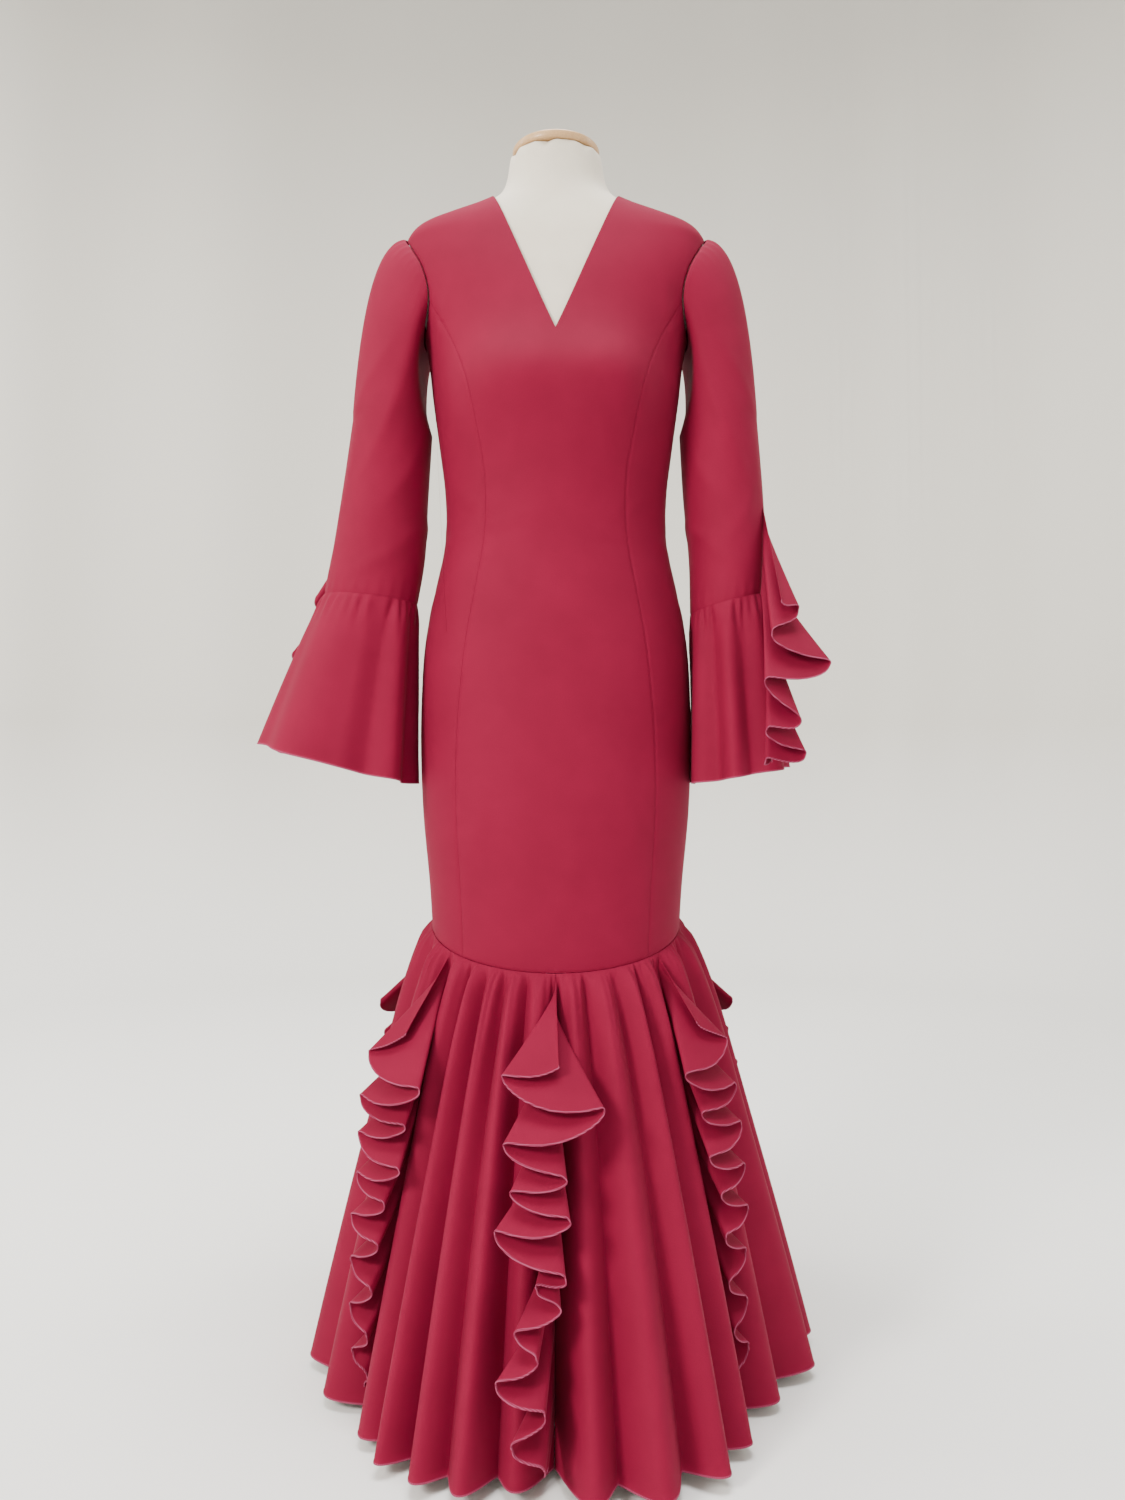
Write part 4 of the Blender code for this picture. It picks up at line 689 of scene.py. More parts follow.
def skirt(azimuth, down):
    """A point of the skirt's middle surface, down from the seam (0) to the hem (1).

    The numbers in the tucks' sines only make them uneven.
    """
    azimuth, down = np.broadcast_arrays(np.asarray(azimuth, float), np.asarray(down, float))
    seam_height = skirt_seam(azimuth) - SKIRT_SEAM_GAP / 2
    top = body(azimuth, skirt_seam(azimuth))
    spread = np.clip(down, 0, None) ** SPREAD_POWER
    radius = waves(HEM, wrapped(azimuth), "radius", RIDGE_FULLNESS)
    angle = np.radians(azimuth)
    lift = HEM_LIFT * (radius - HEM_MEAN_RADIUS) * down
    fade = np.exp(-(((down - GATHER_PEAK) / GATHER_FADE) ** 2)) * np.clip(down / GATHER_START, 0, 1)
    swell = GATHER_OUT * fade * waves(GATHERS, wrapped(azimuth), "out", RIDGE_FULLNESS)
    tuck_phase = TUCKS * angle + 1.9 * np.sin(17 * angle) + 1.2 * np.sin(29 * angle + 1)
    tuck_size = 0.65 + 0.35 * np.sin(11 * angle + 0.6)
    tuck_length = TUCK_FADE * (1 + 0.45 * np.sin(23 * angle))
    tuck = TUCK_OUT * tuck_size * np.cos(tuck_phase) * np.exp(-((down / tuck_length) ** 2))
    swell = swell + tuck * np.clip(down / TUCK_START, TUCK_LEAST, 1)
    x = top[..., 0] * (1 - spread) + radius * np.sin(angle) * spread + swell * np.sin(angle)
    y = top[..., 1] * (1 - spread) - radius * np.cos(angle) * spread - swell * np.cos(angle)
    return np.stack([x, y, seam_height + (HEM_HEIGHT - seam_height) * down + lift], axis=-1)


def gore(word, start, end, crepe):
    """A gore between two seams. Its edges keep to the valleys, and its hem is overlocked."""
    turns = [a for a in HEM.column("azimuth") if start <= a <= end]
    between = [np.linspace(a, b, STEPS_A_WAVE, endpoint=False) for a, b in zip(turns, turns[1:])]
    azimuths = np.append(np.concatenate(between), turns[-1])
    rows = np.concatenate([GORE_TOP_ROWS, up_to_edge(GORE_ROWS, SKIRT_LENGTH)[0][2:]])
    us, vs = np.meshgrid(azimuths, rows)
    held = np.clip(us, start + GORE_HELD_DEG, end - GORE_HELD_DEG)
    normals = -surface_normals(skirt, us, vs, 0.2, 0.002)
    sewn = sew(f"gore_{word}", [(skirt(held, vs), normals)], CREPE, "bottom")
    place, hand = word.split("_")
    above = {"front": "front_panel", "side": f"front_side_panel_{hand}", "back": f"back_panel_{hand}"}
    hang(sewn, f"skirt_{word}", crepe, "gathered", [above[place]])


# Ruffles


def fold_path(tips, position):
    """Root, sideways angle and length at a position counted in folds, and the turn's own depth."""
    position = np.clip(position, 0, len(tips.rows) - 1)
    low = np.minimum(position.astype(int), len(tips.rows) - 2)
    t = position - low
    flat = 0.5 - 0.5 * ((1 + FACE_FLATNESS) * np.cos(np.pi * t) - FACE_FLATNESS * np.cos(3 * np.pi * t))
    roots, asides, lengths = (tips.column(c) for c in ("root", "aside", "length"))
    angles = np.arcsin(asides / lengths)
    pitch = roots[low + 1] - roots[low]
    root = roots[low] + pitch * t
    angle = angles[low] + (angles[low + 1] - angles[low]) * flat
    length = lengths[low] + (lengths[low + 1] - lengths[low]) * flat
    turn = -TURN_SHARE * pitch * np.sin(2 * np.pi * t) / (2 * np.pi)
    return root, angle, length, turn


def ruffle_sheet(name, tips, ruffle):
    """A ruffle as a shell about its ribs, with its free edge overlocked."""
    positions = np.linspace(0, len(tips.rows) - 1, STEPS_A_FOLD * (len(tips.rows) - 1) + 1)
    lengths = np.interp(positions, np.arange(len(tips.rows)), tips.column("length"))
    vs = up_to_edge(RUFFLE_ACROSS, lengths)
    us = np.repeat(positions[:, None], vs.shape[1], axis=1)
    return sew(name, [(ruffle(us, vs), surface_normals(ruffle, us, vs, 0.01, 0.01))], RUFFLE_CREPE, "last")


def rippled(position, across):
    """The small waves of an overlocked edge, sideways."""
    wave = np.sin(2 * np.pi * RIPPLES_A_FOLD * position + 1.3 * np.sin(2.1 * position))
    return RIPPLE * wave * np.clip(across, 0, None) ** 3


def square_to(azimuth):
    """Unit vectors outwards and sideways (towards +azimuth) at a direction."""
    sine, cosine = math.sin(math.radians(azimuth)), math.cos(math.radians(azimuth))
    return np.array([sine, -cosine, 0]), np.array([cosine, sine, 0])


def ridge_over(seam, facing, aside, down):
    """How far the skirt's ridges within this distance of a gore seam stand out beyond it."""
    outward, _ = square_to(facing)
    valley = skirt(seam, down) @ outward
    reached = RIDGE_REACH * math.degrees(aside / valley)
    near = skirt(seam + np.linspace(-reached, reached, 41), down)
    return float((near @ outward).max() - valley)


def steepness(seam, facing, tips, length, lift):
    """At each fold, how far it stands out for what it hangs down: over the ridges, and then its lift."""
    asides = np.abs(tips.column("aside"))
    widest = np.maximum(asides, np.maximum(np.append(asides[1:], 0), np.append(0, asides[:-1])))
    below = np.sqrt(tips.column("length") ** 2 - asides**2)
    needed = [
        ridge_over(seam, facing, aside, min((root + hang) / length, 1.0)) / hang
        for root, aside, hang in zip(tips.column("root"), widest, below)
    ]
    return lift + np.convolve(np.pad(needed, 2, mode="edge"), np.array([1, 2, 3, 2, 1]) / 9, mode="valid")


def skirt_ruffle(name, seam, facing, tips, side, scale, lift, crepe):
    """Straight ribs of cloth from a gore seam to each fold's edge, fanned to one side and the other."""
    ends = skirt(seam, np.array([0.0, 1.0]))
    length = float(np.linalg.norm(ends[1] - ends[0]))
    scaled = Table("root aside length", tips.rows * (1, side * scale, scale))
    steep = steepness(seam, facing, scaled, length, lift)
    outward, sideways = square_to(facing)

    def ruffle(position, across):
        root, angle, reach, turn = fold_path(scaled, position)
        below = reach * np.cos(angle)
        stand = np.interp(position, np.arange(len(steep)), steep) * (below + turn)
        start = skirt(seam, root / length)
        foot = skirt(seam, np.clip((root + below) / length, 0, 1.0))
        end = foot + stand[..., None] * (outward + [0, 0, RISE])
        point = start + across[..., None] * (end - start) + CASCADE_CLEAR * outward
        fanned = np.clip(across, 0, None) ** RIB_FLARE * reach * np.sin(angle) + rippled(position, across)
        return point + fanned[..., None] * sideways

    word = name.removeprefix("cascade_")
    gore_under = f"gore_{word}" if "_" in word else f"gore_{word}_left"
    hang(ruffle_sheet(f"ruffle_{word}", scaled, ruffle), name, crepe, "gathered", [gore_under])


# Sleeves


def clear_of_body(points, gap):
    """The points, with those nearer to the body than the gap moved straight out of it."""
    height = np.clip(points[..., 2], FORM_BOTTOM, ARMHOLE_CENTRE)
    ahead = -points[..., 1] / FIGURE.at(height, "front")
    azimuth = np.degrees(np.arctan2(points[..., 0] / FIGURE.at(height, "half_width"), ahead))
    skin = body(azimuth, height)
    near = np.hypot(skin[..., 0], skin[..., 1]) + gap
    factor = np.maximum(near / np.maximum(np.hypot(points[..., 0], points[..., 1]), 1e-6), 1.0)
    return points * np.stack([factor, factor, np.ones_like(factor)], axis=-1)


def sleeve_section(word, angle, height):
    """A point of the sleeve's middle surface. The angle goes from the outer side (0) by the front."""
    side = SIDES[word]
    table = SLEEVES[word]
    turned = np.radians(angle)
    x = side * (table.at(height, "aside") + table.at(height, "half_x") * np.cos(turned))
    y = table.at(height, "centre_y") - table.at(height, "half_y") * np.sin(turned)
    return np.stack([x, y, height + 0 * x], axis=-1)


def sleeve_end(word, angle):
    """Height of the elbow seam, lower towards the body."""
    return FLOUNCES[word]["seam"] + FLOUNCES[word]["seam_tilt"] * np.cos(np.radians(angle))


def armhole_ring(word, angle):
    """The armhole on the body, a little outside it, in step with the sleeve's angle."""
    side = SIDES[word]
    turned = np.radians(angle)
    height = ARMHOLE_CENTRE + (ARMHOLE_HALF_HEIGHT + ARMHOLE_OUT) * np.cos(turned)
    azimuth = side * (90 - (ARMHOLE_HALF_DEG + ARMHOLE_OUT_DEG) * np.sin(turned))
    return body(azimuth, height, beyond=CAD_CLOTH + 3 * SEAM_GAP)


def sleeve(word, angle, along):
    """The sleeve from the armhole (0) through the biceps (1) to the elbow seam (2)."""
    angle, along = np.broadcast_arrays(np.asarray(angle, float), np.asarray(along, float))
    side = SIDES[word]
    outer = np.cos(np.radians(angle))
    biceps_height = BICEPS_HEIGHT + BICEPS_TILT * outer
    biceps = sleeve_section(word, angle, biceps_height)
    start = armhole_ring(word, angle)
    over = start.copy()
    over[..., 0] += side * (HEAD_OUT + CAP_OUT * np.clip(outer, 0, 1) ** CAP_POWER)
    over[..., 2] += CAP_UP * outer - UNDERARM_DOWN * (1 - outer) / 2
    t = np.clip(along, 0, 1)[..., None]
    head = (1 - t) ** 2 * start + 2 * t * (1 - t) * over + t**2 * biceps
    end_height = sleeve_end(word, angle) + SEAM_GAP / 2
    height = biceps_height + (end_height - biceps_height) * np.clip(along - 1, 0, 1)
    points = np.where(along[..., None] <= 1, head, sleeve_section(word, angle, height))
    share = np.clip(along / SLEEVE_SETTLED, 0, 1)[..., None]
    return points * (1 - share) + clear_of_body(points, BODY_CLEAR) * share


def flounce(word, angle, down):
    """A point of a bell flounce, down from the elbow seam (0) to its hem (1).

    The numbers in the tucks' sines only make them uneven.
    """
    angle, down = np.broadcast_arrays(np.asarray(angle, float), np.asarray(down, float))
    side = SIDES[word]
    shape = FLOUNCES[word]
    turned = np.radians(angle)
    top = sleeve(word, angle, np.full(angle.shape, 2.0))
    out = waves(shape["folds"], angle % 360, "out")
    hem_x = side * (shape["aside"] + (shape["half_x"] + out) * np.cos(turned))
    hem_y = shape["centre_y"] - (shape["half_y"] + out) * np.sin(turned)
    hem_z = shape["hem"] + shape["hem_tilt"] * np.cos(turned)
    spread = np.clip(down, 0, None) ** FLOUNCE_POWER
    swell = FLOUNCE_FULLNESS * out * np.clip(down / FLOUNCE_SETTLED, 0, 1) * (1 - down)
    tuck_size = 0.7 + 0.3 * np.sin(9 * turned)
    tuck = BELL_TUCK_OUT * tuck_size * np.cos(BELL_TUCKS * turned + 1.7 * np.sin(5 * turned))
    tuck *= np.exp(-((down / BELL_TUCK_FADE) ** 2)) * np.clip(down / BELL_TUCK_START, BELL_TUCK_LEAST, 1)
    swell = swell + tuck
    x = top[..., 0] * (1 - spread) + hem_x * spread + side * swell * np.cos(turned)
    y = top[..., 1] * (1 - spread) + hem_y * spread - swell * np.sin(turned)
    z = (sleeve_end(word, angle) - SEAM_GAP / 2) * (1 - down) + hem_z * down
    points = np.stack([x, y, z], axis=-1)
    share = np.clip(down / FLOUNCE_SETTLED, 0, 1)[..., None]
    return points * (1 - share) + clear_of_body(points, BODY_CLEAR) * share


def outward_normals(points):
    """Unit normals of a tube's rings of points, away from its own axis."""
    around = np.roll(points, -1, axis=1) - np.roll(points, 1, axis=1)
    normals = np.cross(np.gradient(points, axis=0), around)
    normals /= np.linalg.norm(normals, axis=-1, keepdims=True)
    away = points - points.mean(axis=1, keepdims=True)
    return normals * np.sign((normals * away).sum(-1).mean())


def sleeve_piece(word, crepe):
    """The sleeve, eased into the armhole and puckered a little at the elbow."""
    angles = np.arange(SLEEVE_AROUND) * 360.0 / SLEEVE_AROUND
    us, vs = np.meshgrid(angles, SLEEVE_ROWS)
    points = sleeve(word, us, vs)
    normals = outward_normals(points)
    down = run(points, 0)
    up = down[-1:] - down
    relief = pulled(SLEEVE_PULLS, us, points[..., 2], SLEEVE_RADIUS)
    turned = np.radians(us)
    over_cap = np.clip(np.cos(turned) + 0.3, 0, 1)
    ease = EASE_OUT * over_cap * np.cos(EASE_PUCKERS * turned + 1.4 * np.sin(5 * turned))
    elbow = ELBOW_OUT * np.cos(ELBOW_PUCKERS * turned)
    for near in (down, up):
        relief *= 1 - np.exp(-((near / SLEEVE_TAUT) ** 2))
        relief -= SEAM_DEEP * np.exp(-((near / SEAM_WIDE) ** 2))
    for near, puckers, fade in ((down, ease, EASE_FADE), (up, elbow, ELBOW_FADE)):
        relief += puckers * np.exp(-((near / fade) ** 2)) * np.clip(near / PUCKER_START, 0, 1)
    sewn = sew(f"arm_{word}", [(points + relief[..., None] * normals, normals)], CREPE, ring=True)
    hang(sewn, f"sleeve_{word}", crepe, "hung", [f"front_side_panel_{word}"])


def bell_piece(word, crepe):
    """The bell flounce, gathered to the elbow seam and overlocked at its hem."""
    turns = FLOUNCES[word]["folds"].column("angle")
    between = [np.linspace(a, b, STEPS_A_BELL_WAVE, endpoint=False) for a, b in zip(turns, turns[1:])]
    angles = np.concatenate(between)
    rows = np.concatenate([BELL_TOP_ROWS, up_to_edge(BELL_ROWS, BELL_LENGTH)[0][3:]])
    us, vs = np.meshgrid(angles, rows)
    points = flounce(word, us, vs)
    sewn = sew(f"bell_{word}", [(points, outward_normals(points))], CREPE, "bottom", ring=True)
    hang(sewn, f"sleeve_flounce_{word}", crepe, "gathered", [f"arm_{word}"])


def sleeve_side(word, angle, height):
    """The sleeve or flounce at a height, whichever is there."""
    shape = FLOUNCES[word]
    top = sleeve_end(word, angle) - SEAM_GAP / 2
    bottom = shape["hem"] + shape["hem_tilt"] * np.cos(np.radians(angle))
    on_flounce = flounce(word, angle, np.clip((top - height) / (top - bottom), 0, 1))
    return np.where((height < top)[..., None], on_flounce, sleeve_section(word, angle, height))


def sleeve_ruffle(word, crepe):
    """The ruffle that falls over the outside of a sleeve and its bell."""
    shape, tips = FLOUNCES[word], SLEEVE_CASCADES[word]
    side = SIDES[word]
    outward = side * np.cos(np.radians(shape["facing"])), -np.sin(np.radians(shape["facing"]))

    def beyond(height, out, aside):
        """A point this far out from the ruffle's own line on the sleeve, and this far to the front."""
        angle = np.interp(height, (shape["hem"], shape["root_top"]), shape["root_turn"])
        line = sleeve_side(word, angle, height)
        x = out * outward[0] + side * aside * outward[1]
        y = out * outward[1] - side * aside * outward[0]
        return line + np.stack([x, y, 0 * x], axis=-1)

    def ruffle(position, across):
        root, angle, reach, turn = fold_path(tips, position)
        below = reach * np.cos(angle)
        lift = np.interp(position, np.arange(len(tips.rows)), tips.column("lift"))
        height = shape["root_top"] - root
        start = beyond(height, SLEEVE_CASCADE_CLEAR + 0 * height, 0 * height)
        stand = SLEEVE_CASCADE_CLEAR + lift * (below + turn)
        low = np.maximum(height - below, shape["hem"] + SLEEVE_CASCADE_HEM_CLEAR)
        end = beyond(low, stand, reach * np.sin(angle) + rippled(position, across))
        return start + across[..., None] * (end - start)

    sewn = ruffle_sheet(f"ruffle_arm_{word}", tips, ruffle)
    hang(sewn, f"sleeve_cascade_{word}", crepe, "gathered", [f"bell_{word}"])


# Dress form, stand and zip


def only(piece):
    """The piece alone is selected and active."""
    bpy.ops.object.select_all(action="DESELECT")
    piece.select_set(True)
    bpy.context.view_layer.objects.active = piece


def open_up(piece):
    """The piece alone is in edit mode, with everything selected."""
    only(piece)
    bpy.ops.object.mode_set(mode="EDIT")
    bpy.ops.mesh.select_all(action="SELECT")


def stand_for(piece, node, finish, owner="dress"):
    """The piece, in this finish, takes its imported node's place on the owner body."""
    piece.data.materials.clear()
    piece.data.materials.append(finish)
    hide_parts(node)
    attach(piece, owner)


def copy_of(node, name):
    """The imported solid's own shape, with its loose triangles merged back to quads."""
    piece = placed(name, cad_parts[node].data.copy())
    open_up(piece)
    bpy.ops.mesh.remove_doubles(threshold=0.01 * MM)
    bpy.ops.mesh.tris_convert_to_quads(face_threshold=math.radians(40), shape_threshold=math.radians(60))
    bpy.ops.object.mode_set(mode="OBJECT")
    return piece


def finish_with(piece, kind, **settings):
    """A modifier of this kind, applied."""
    modifier = piece.modifiers.new(kind.lower(), kind)
    for name, value in settings.items():
        setattr(modifier, name, value)
    only(piece)
    bpy.ops.object.modifier_apply(modifier=modifier.name)


def outwards(piece, sharp):
    """Faces point out, and only edges over this many degrees stay sharp."""
    open_up(piece)
    bpy.ops.mesh.normals_make_consistent(inside=False)
    bpy.ops.object.mode_set(mode="OBJECT")
    bpy.ops.object.shade_smooth_by_angle(angle=math.radians(sharp))


def dress_form(jersey):
    """The torso under its jersey cover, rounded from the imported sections."""
    piece = copy_of("form_torso", "dress_form")
    finish_with(piece, "SUBSURF", levels=2, render_levels=2)
    outwards(piece, 50)
    stand_for(piece, "form_torso", jersey)


def turned_disc(name, node, rim, finish):
    """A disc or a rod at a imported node's place, with rounded rims, on a round primitive."""
    low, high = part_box(node)
    bpy.ops.object.select_all(action="DESELECT")
    radius, depth, middle = (high.x - low.x) / 2, high.z - low.z, (low + high) / 2
    bpy.ops.mesh.primitive_cylinder_add(vertices=96, radius=radius, depth=depth, location=middle)
    piece = bpy.context.object
    piece.name = piece.data.name = name
    bpy.ops.object.transform_apply(location=True, rotation=True, scale=True)
    finish_with(piece, "BEVEL", width=rim, segments=5, limit_method="ANGLE")
    bpy.ops.object.shade_smooth_by_angle(angle=math.radians(40))
    stand_for(piece, node, finish)


def stand(steel):
    """The steel base plate, hub, pole and flange, with their turned edges eased."""
    piece = copy_of("form_stand", "steel_stand")
    sharp = math.radians(35)
    finish_with(piece, "BEVEL", width=0.8 * MM, segments=3, limit_method="ANGLE", angle_limit=sharp)
    outwards(piece, 35)
    stand_for(piece, "form_stand", steel)


def zip_pull(lacquer):
    """Slider and pull tab, with their edges rounded."""
    for node, name, owner, rim in (
        ("zip_slider", "zip_body", "dress", 0.28 * MM),
        ("zip_pull_tab", "zip_tab_plate", "zip_tab", 0.22 * MM),
    ):
        piece = copy_of(node, name)
        sharp = math.radians(40)
        finish_with(piece, "BEVEL", width=rim, segments=3, limit_method="ANGLE", angle_limit=sharp)
        outwards(piece, 35)
        stand_for(piece, node, lacquer, owner)


def zip_tape(word, crepe):
    """Half of the zip's tape, behind the back panel's edge."""
    side = SIDES[word]
    heights = np.linspace(ZIP_FOOT, ZIP_TOP, TAPE_ROWS)
    outer = np.array([azimuth_at(TAPE_HALF, height) for height in heights])[:, None]
    inner = SEAM_HALF_DEG / 3
    azimuths = side * (180 - inner - (outer - inner) * np.linspace(0, 1, TAPE_ACROSS))
    heights = np.repeat(heights[:, None], TAPE_ACROSS, axis=1)
    points = body(azimuths, heights, beyond=-TAPE_DEEP)
    grid = points, surface_normals(body, azimuths, heights, *BODY_STEPS)
    hang(sew(f"zip_tape_{word}", [grid], TAPE), None, crepe, "draped", [f"back_panel_{word}"])


def zip_teeth(nylon):
    """The coil inside the tape: one tooth with eased edges, copied up the centre back from side to side."""
    bpy.ops.object.select_all(action="DESELECT")
    bpy.ops.mesh.primitive_cube_add(size=1.0)
    tooth = bpy.context.object
    tooth.scale = TOOTH
    bpy.ops.object.transform_apply(location=True, rotation=True, scale=True)
    finish_with(tooth, "BEVEL", width=TOOTH_EASED, segments=1)
    form = np.array([corner.co for corner in tooth.data.vertices])
    tooth.data.calc_loop_triangles()
    faces = np.array([three.vertices for three in tooth.data.loop_triangles])
    bpy.data.objects.remove(tooth)
    heights = np.arange(TEETH_FOOT, TEETH_TOP, TOOTH_EVERY)
    places = body(180.0, heights, beyond=-TOOTH_DEEP)
    out = surface_normals(body, 180.0 + 0 * heights, heights, *BODY_STEPS)
    up = np.gradient(places, axis=0)
    up /= np.linalg.norm(up, axis=1, keepdims=True)
    places[:, 0] += TOOTH_ASIDE * (-1.0) ** np.arange(len(heights))
    across = np.broadcast_to([1.0, 0, 0], up.shape)
    turned = np.stack([across, out, up], axis=1)
    corners = places[:, None] + form @ turned
    faces = faces + len(form) * np.arange(len(heights))[:, None, None]
    mesh = bpy.data.meshes.new("zip_teeth")
    mesh.from_pydata(corners.reshape(-1, 3).tolist(), [], faces.reshape(-1, 3).tolist())
    mesh.materials.append(nylon)
    piece = placed("zip_teeth", mesh)
    outwards(piece, 30)
    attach(piece, "dress")


# Finishes


def linear(colour):
    """An sRGB hex colour as linear RGBA."""
    channels = [int(colour[k : k + 2], 16) / 255 for k in (1, 3, 5)]
    return (*(c / 12.92 if c <= 0.04045 else ((c + 0.055) / 1.055) ** 2.4 for c in channels), 1.0)


def add(tree, kind, links=(), **settings):
    """A node with its settings. links are (input, value) or (input, (node, output))."""
    made = tree.nodes.new(kind)
    for name, value in settings.items():
        setattr(made, name, value)
    for socket, value in links:
        if isinstance(value, tuple) and len(value) == 2 and isinstance(value[0], bpy.types.Node):
            tree.links.new(value[0].outputs[value[1]], made.inputs[socket])
        else:
            made.inputs[socket].default_value = value
    return made


def finish_tree(name):
    made = bpy.data.materials.new(name)
    made.use_nodes = True
    return made, made.node_tree, made.node_tree.nodes["Principled BSDF"]


def noise(tree, vector, scale, detail):
    links = [("Vector", vector), ("Scale", scale), ("Detail", detail), ("Roughness", 0.6)]
    return add(tree, "ShaderNodeTexNoise", links)


def grains(tree, here, sizes, detail):
    """Noise whose grains are this many millimetres along X, Y and Z."""
    scale = tuple(1 / (size * MM) for size in sizes)
    stretched = add(tree, "ShaderNodeMapping", [("Vector", (here, "Object")), ("Scale", scale)])
    return noise(tree, (stretched, "Vector"), 1.0, detail)


def blend_of(tree, share, low, high):
    return add(tree, "ShaderNodeMix", [(0, share), (6, low), (7, high)], data_type="RGBA")


def raised(tree, shader, height, strength, distance):
    bump = add(tree, "ShaderNodeBump", [("Height", height), ("Strength", strength), ("Distance", distance)])
    tree.links.new(bump.outputs["Normal"], shader.inputs["Normal"])


def polyester_crepe():
    """Polyester crepe: hard-twisted yarn gives a pebbled, matte cloth with a faint bloom at its edges.

    The overlocked edges are wrapped in thread that is paler, partly in its own tone and partly as a painted
    highlight; its turns, drawn 2 mm apart, are painted as stripes of light and shade so that they show.
    """
    made, tree, shader = finish_tree("polyester_crepe")
    flat = add(tree, "ShaderNodeUVMap", uv_map="flat_cloth")
    here = add(tree, "ShaderNodeTexCoord")
    broad = noise(tree, (here, "Object"), 14.0, 3.0)
    dye = blend_of(tree, (broad, "Fac"), linear(CREPE_DEEP), linear(CREPE_LIGHT))
    pebble = noise(tree, (flat, "UV"), 1 / PEBBLE, 2.0)
    ends = [("From Min", 0.3), ("From Max", 0.7), ("To Min", 0.88), ("To Max", 1.08)]
    speckle = add(tree, "ShaderNodeMapRange", [("Value", (pebble, "Fac")), *ends])
    factors = [(0, (dye, 2)), (1, (speckle, "Result"))]
    grained = add(tree, "ShaderNodeVectorMath", factors, operation="MULTIPLY")
    wrap = add(tree, "ShaderNodeAttribute", attribute_name="overlock")
    scale = math.pi / (10 * THREAD_EVERY)  # the wave node repeats every pi / (10 scale)
    turns = add(tree, "ShaderNodeTexWave", [("Vector", (flat, "UV")), ("Scale", scale), ("Distortion", 1.0)])
    # The thread's turns are painted as stripes of light and shade, and its paler tone is partly a painted
    # highlight
    thread = blend_of(tree, (turns, "Fac"), linear(THREAD_PAINTED_SHADE), linear(THREAD_PAINTED_LIGHT))
    edged = blend_of(tree, (wrap, "Fac"), (grained, "Vector"), (thread, 2))
    tree.links.new(edged.outputs[2], shader.inputs["Base Color"])
    relief = add(tree, "ShaderNodeMix", [(0, (wrap, "Fac")), (2, (pebble, "Fac")), (3, (turns, "Fac"))])
    raised(tree, shader, (relief, 0), 0.35, 0.25 * MM)
    shader.inputs["Roughness"].default_value = 0.78
    shader.inputs["Specular IOR Level"].default_value = 0.14
    shader.inputs["Sheen Weight"].default_value = 0.03
    shader.inputs["Sheen Roughness"].default_value = 0.45
    shader.inputs["Sheen Tint"].default_value = linear("#e58a9c")
    return made


def cotton_jersey():
    """Cotton jersey stretched over a moulded torso: fine upright wales, 1.4 mm apart, quite matte."""
    made, tree, shader = finish_tree("cotton_jersey")
    here = add(tree, "ShaderNodeTexCoord")
    soft = noise(tree, (here, "Object"), 22.0, 4.0)
    cover = blend_of(tree, (soft, "Fac"), linear(JERSEY_SHADE), linear(JERSEY_LIGHT))
    tree.links.new(cover.outputs[2], shader.inputs["Base Color"])
    raised(tree, shader, (grains(tree, here, (1.4, 1.4, 2.6), 1.0), "Fac"), 0.3, 0.2 * MM)
    shader.inputs["Roughness"].default_value = 0.85
    shader.inputs["Specular IOR Level"].default_value = 0.25
    shader.inputs["Sheen Weight"].default_value = 0.15
    return made


def varnished_beech():
    """Turned beech under satin varnish: close pale grain with short darker flecks."""
    made, tree, shader = finish_tree("varnished_beech")
    here = add(tree, "ShaderNodeTexCoord")
    flecks = grains(tree, here, (2, 40, 2), 5.0)
    wood = blend_of(tree, (flecks, "Fac"), linear("#a37a4e"), linear("#d0ab7c"))
    tree.links.new(wood.outputs[2], shader.inputs["Base Color"])
    raised(tree, shader, (flecks, "Fac"), 0.15, 0.1 * MM)
    shader.inputs["Roughness"].default_value = 0.42
    shader.inputs["Coat Weight"].default_value = 0.25
    return made


def brushed_steel():
    """Brushed stainless steel: fine streaks round the pole and plate, 0.6 mm apart."""
    made, tree, shader = finish_tree("brushed_steel")
    here = add(tree, "ShaderNodeTexCoord")
    brushing = grains(tree, here, (30, 30, 0.6), 2.0)
    ends = [("To Min", 0.26), ("To Max", 0.44)]
    rough = add(tree, "ShaderNodeMapRange", [("Value", (brushing, "Fac")), *ends])
    tree.links.new(rough.outputs["Result"], shader.inputs["Roughness"])
    shader.inputs["Base Color"].default_value = linear("#b9b9bb")
    shader.inputs["Metallic"].default_value = 1.0
    return made


def lacquered_zinc():
    """Die-cast zinc under crimson lacquer, dyed to match the cloth: smooth, with fine orange peel."""
    made, tree, shader = finish_tree("lacquered_zinc")
    here = add(tree, "ShaderNodeTexCoord")
    peel = noise(tree, (here, "Object"), 1 / (0.8 * MM), 1.0)
    paint = blend_of(tree, (peel, "Fac"), linear("#7a1230"), linear("#951a3c"))
    tree.links.new(paint.outputs[2], shader.inputs["Base Color"])
    raised(tree, shader, (peel, "Fac"), 0.12, 0.05 * MM)
    shader.inputs["Roughness"].default_value = 0.32
    shader.inputs["Coat Weight"].default_value = 0.4
    return made


def dyed_nylon():
    """Extruded nylon coil, dyed through to match the cloth: a soft gleam and faint drawn lines."""
    made, tree, shader = finish_tree("dyed_nylon")
    here = add(tree, "ShaderNodeTexCoord")
    drawn = grains(tree, here, (0.4, 0.4, 2.0), 2.0)
    dye = blend_of(tree, (drawn, "Fac"), linear("#54081f"), linear("#6b0d2b"))
    tree.links.new(dye.outputs[2], shader.inputs["Base Color"])
    raised(tree, shader, (drawn, "Fac"), 0.1, 0.02 * MM)
    shader.inputs["Roughness"].default_value = 0.38
    shader.inputs["IOR"].default_value = 1.53
    return made


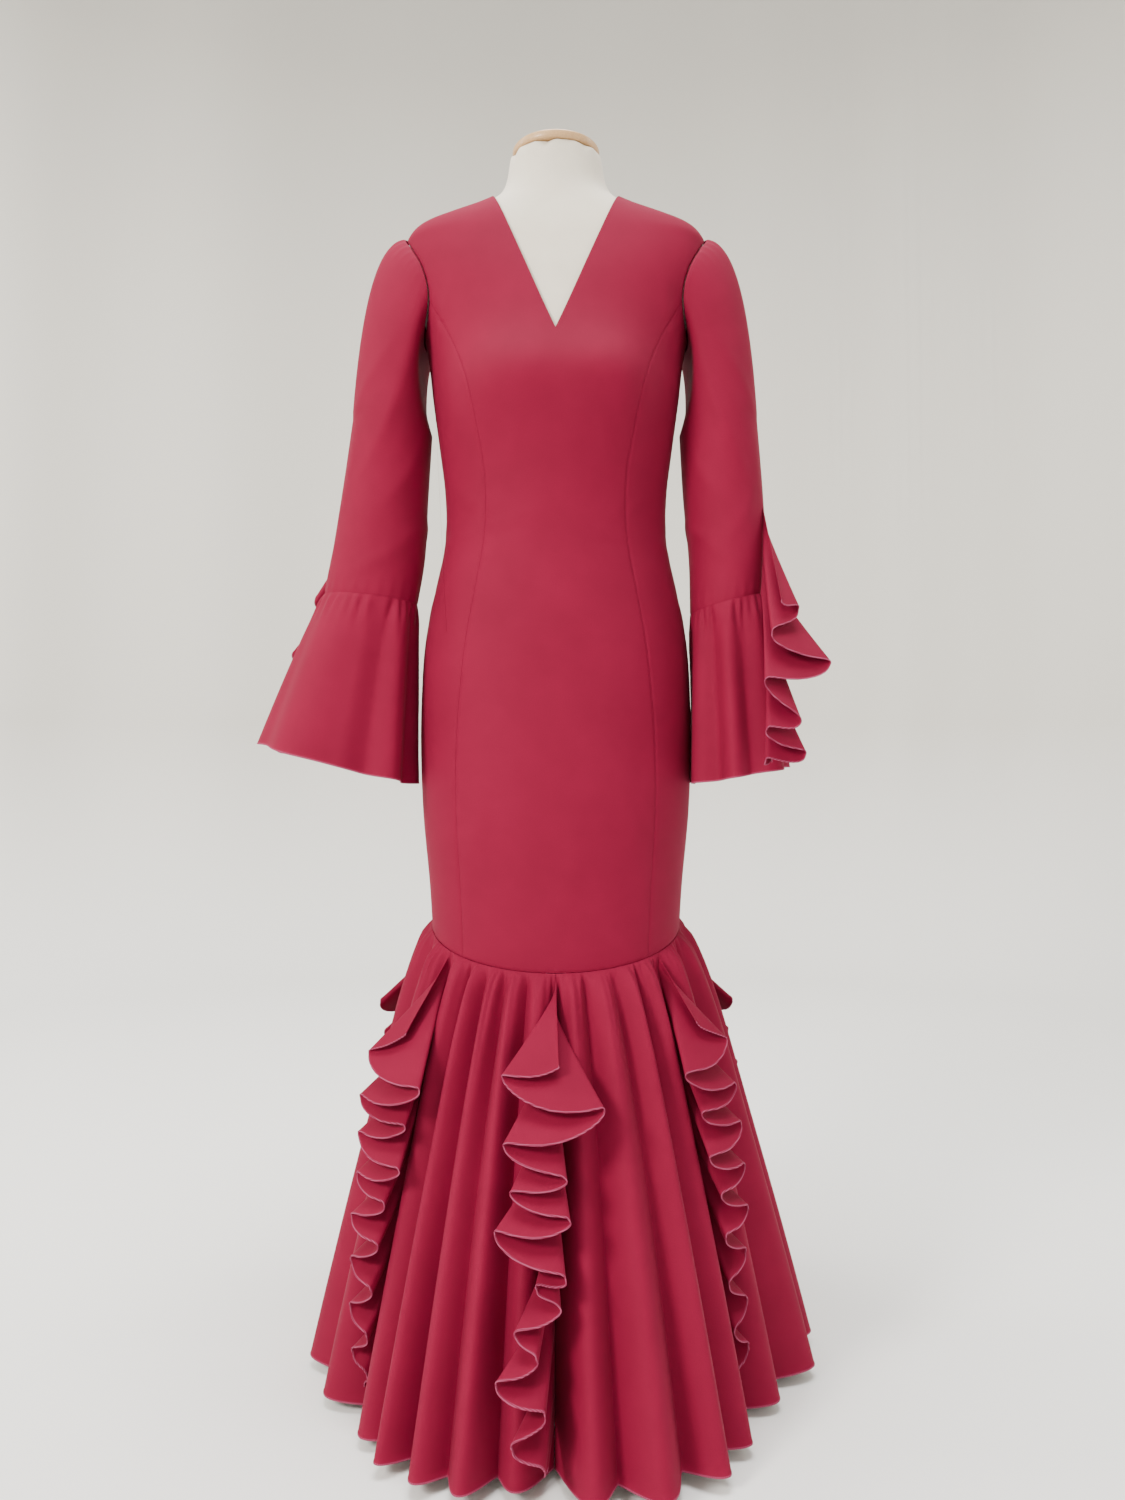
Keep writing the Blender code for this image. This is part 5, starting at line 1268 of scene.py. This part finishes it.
def painted_floor():
    """Matte studio paint, a little lighter on the floor than on the wall."""
    made, tree, shader = finish_tree("painted_floor")
    here = add(tree, "ShaderNodeTexCoord")
    split = add(tree, "ShaderNodeSeparateXYZ", [("Vector", (here, "Object"))])
    height = add(tree, "ShaderNodeMapRange", [("Value", (split, "Z")), ("From Min", 0.0), ("From Max", 0.9)])
    paint = blend_of(tree, (height, "Result"), linear(FLOOR_COLOUR), linear(WALL_COLOUR))
    tree.links.new(paint.outputs[2], shader.inputs["Base Color"])
    shader.inputs["Roughness"].default_value = 0.9
    shader.inputs["Specular IOR Level"].default_value = 0.1
    return made


# Studio


def studio():
    """A round pale floor that curves up into a draped wall."""
    bend = np.linspace(0, math.pi / 2, BEND_RINGS)
    profile = [(FLOOR_RADIUS * k / FLOOR_RINGS, 0.0) for k in range(1, FLOOR_RINGS)]
    profile += [(FLOOR_RADIUS + WALL_BEND * math.sin(a), WALL_BEND * (1 - math.cos(a))) for a in bend]
    profile += [(FLOOR_RADIUS + WALL_BEND, WALL_TOP)]
    form = bmesh.new()
    rings = [[form.verts.new((0, 0, 0))]]
    for radius, height in profile:
        ring = []
        for angle in (2 * math.pi * k / STUDIO_AROUND for k in range(STUDIO_AROUND)):
            fold = math.sin(DRAPES * angle + 1.7 * math.sin(5 * angle) + 0.35 * height)
            out = radius + DRAPE_DEPTH * min(height / WALL_BEND, 1) * fold * (0.6 + 0.4 * math.sin(7 * angle))
            ring.append(form.verts.new((out * math.cos(angle), out * math.sin(angle), height)))
        rings.append(ring)
    for low, high in zip(rings, rings[1:]):
        for k in range(STUDIO_AROUND):
            n = (k + 1) % STUDIO_AROUND
            corners = [low[k % len(low)], high[k], high[n], low[n % len(low)]]
            form.faces.new(list(dict.fromkeys(corners)))
    mesh = bpy.data.meshes.new("studio_floor")
    form.to_mesh(mesh)
    form.free()
    mesh.shade_smooth()
    mesh.materials.append(painted_floor())
    placed("studio_floor", mesh)


def lamp(name, place, target, size, power, colour):
    light = bpy.data.lights.new(name, "AREA")
    light.shape, light.size, light.energy, light.color = "DISK", size, power, linear(colour)[:3]
    made = placed(name, light)
    made.location = place
    made.rotation_euler = (Vector(target) - Vector(place)).to_track_quat("-Z", "Y").to_euler()


def lights():
    for row in LAMPS:
        lamp(*row)
    world = bpy.data.worlds.new("studio_air")
    world.use_nodes = True
    background = world.node_tree.nodes["Background"]
    background.inputs["Color"].default_value = linear("#e9eaec")
    background.inputs["Strength"].default_value = AIR_STRENGTH
    bpy.context.scene.world = world


def camera():
    """At hip height and close, so that the lens is wide: 67 degrees from top to bottom."""
    data = bpy.data.cameras.new("camera")
    data.sensor_width = 36.0
    data.lens = CAMERA_LENS
    made = placed("camera", data)
    made.location = CAMERA_PLACE
    made.rotation_euler = (math.radians(90 + CAMERA_UP), 0, 0)
    bpy.context.scene.camera = made


def main():
    crepe = polyester_crepe()
    front_panel(crepe)
    for word in ("left", "right"):
        back_panel(word, crepe)
        for which in ("front", "back"):
            side_panel(which, word, crepe)
    names = ("back_left", "side_left", "front_left", "front_right", "side_right", "back_right")
    for word, start, end in zip(names, GORE_SEAMS, GORE_SEAMS[1:]):
        gore(word, start, end, crepe)
    for row in SKIRT_CASCADES:
        skirt_ruffle(*row, crepe)
    for word in ("left", "right"):
        sleeve_piece(word, crepe)
        bell_piece(word, crepe)
        sleeve_ruffle(word, crepe)
    dress_form(cotton_jersey())
    turned_disc("neck_cap", "form_neck_cap", 3.0 * MM, varnished_beech())
    stand(brushed_steel())
    zip_pull(lacquered_zinc())
    for word in ("left", "right"):
        zip_tape(word, crepe)
    zip_teeth(dyed_nylon())
    studio()
    lights()
    camera()


main()
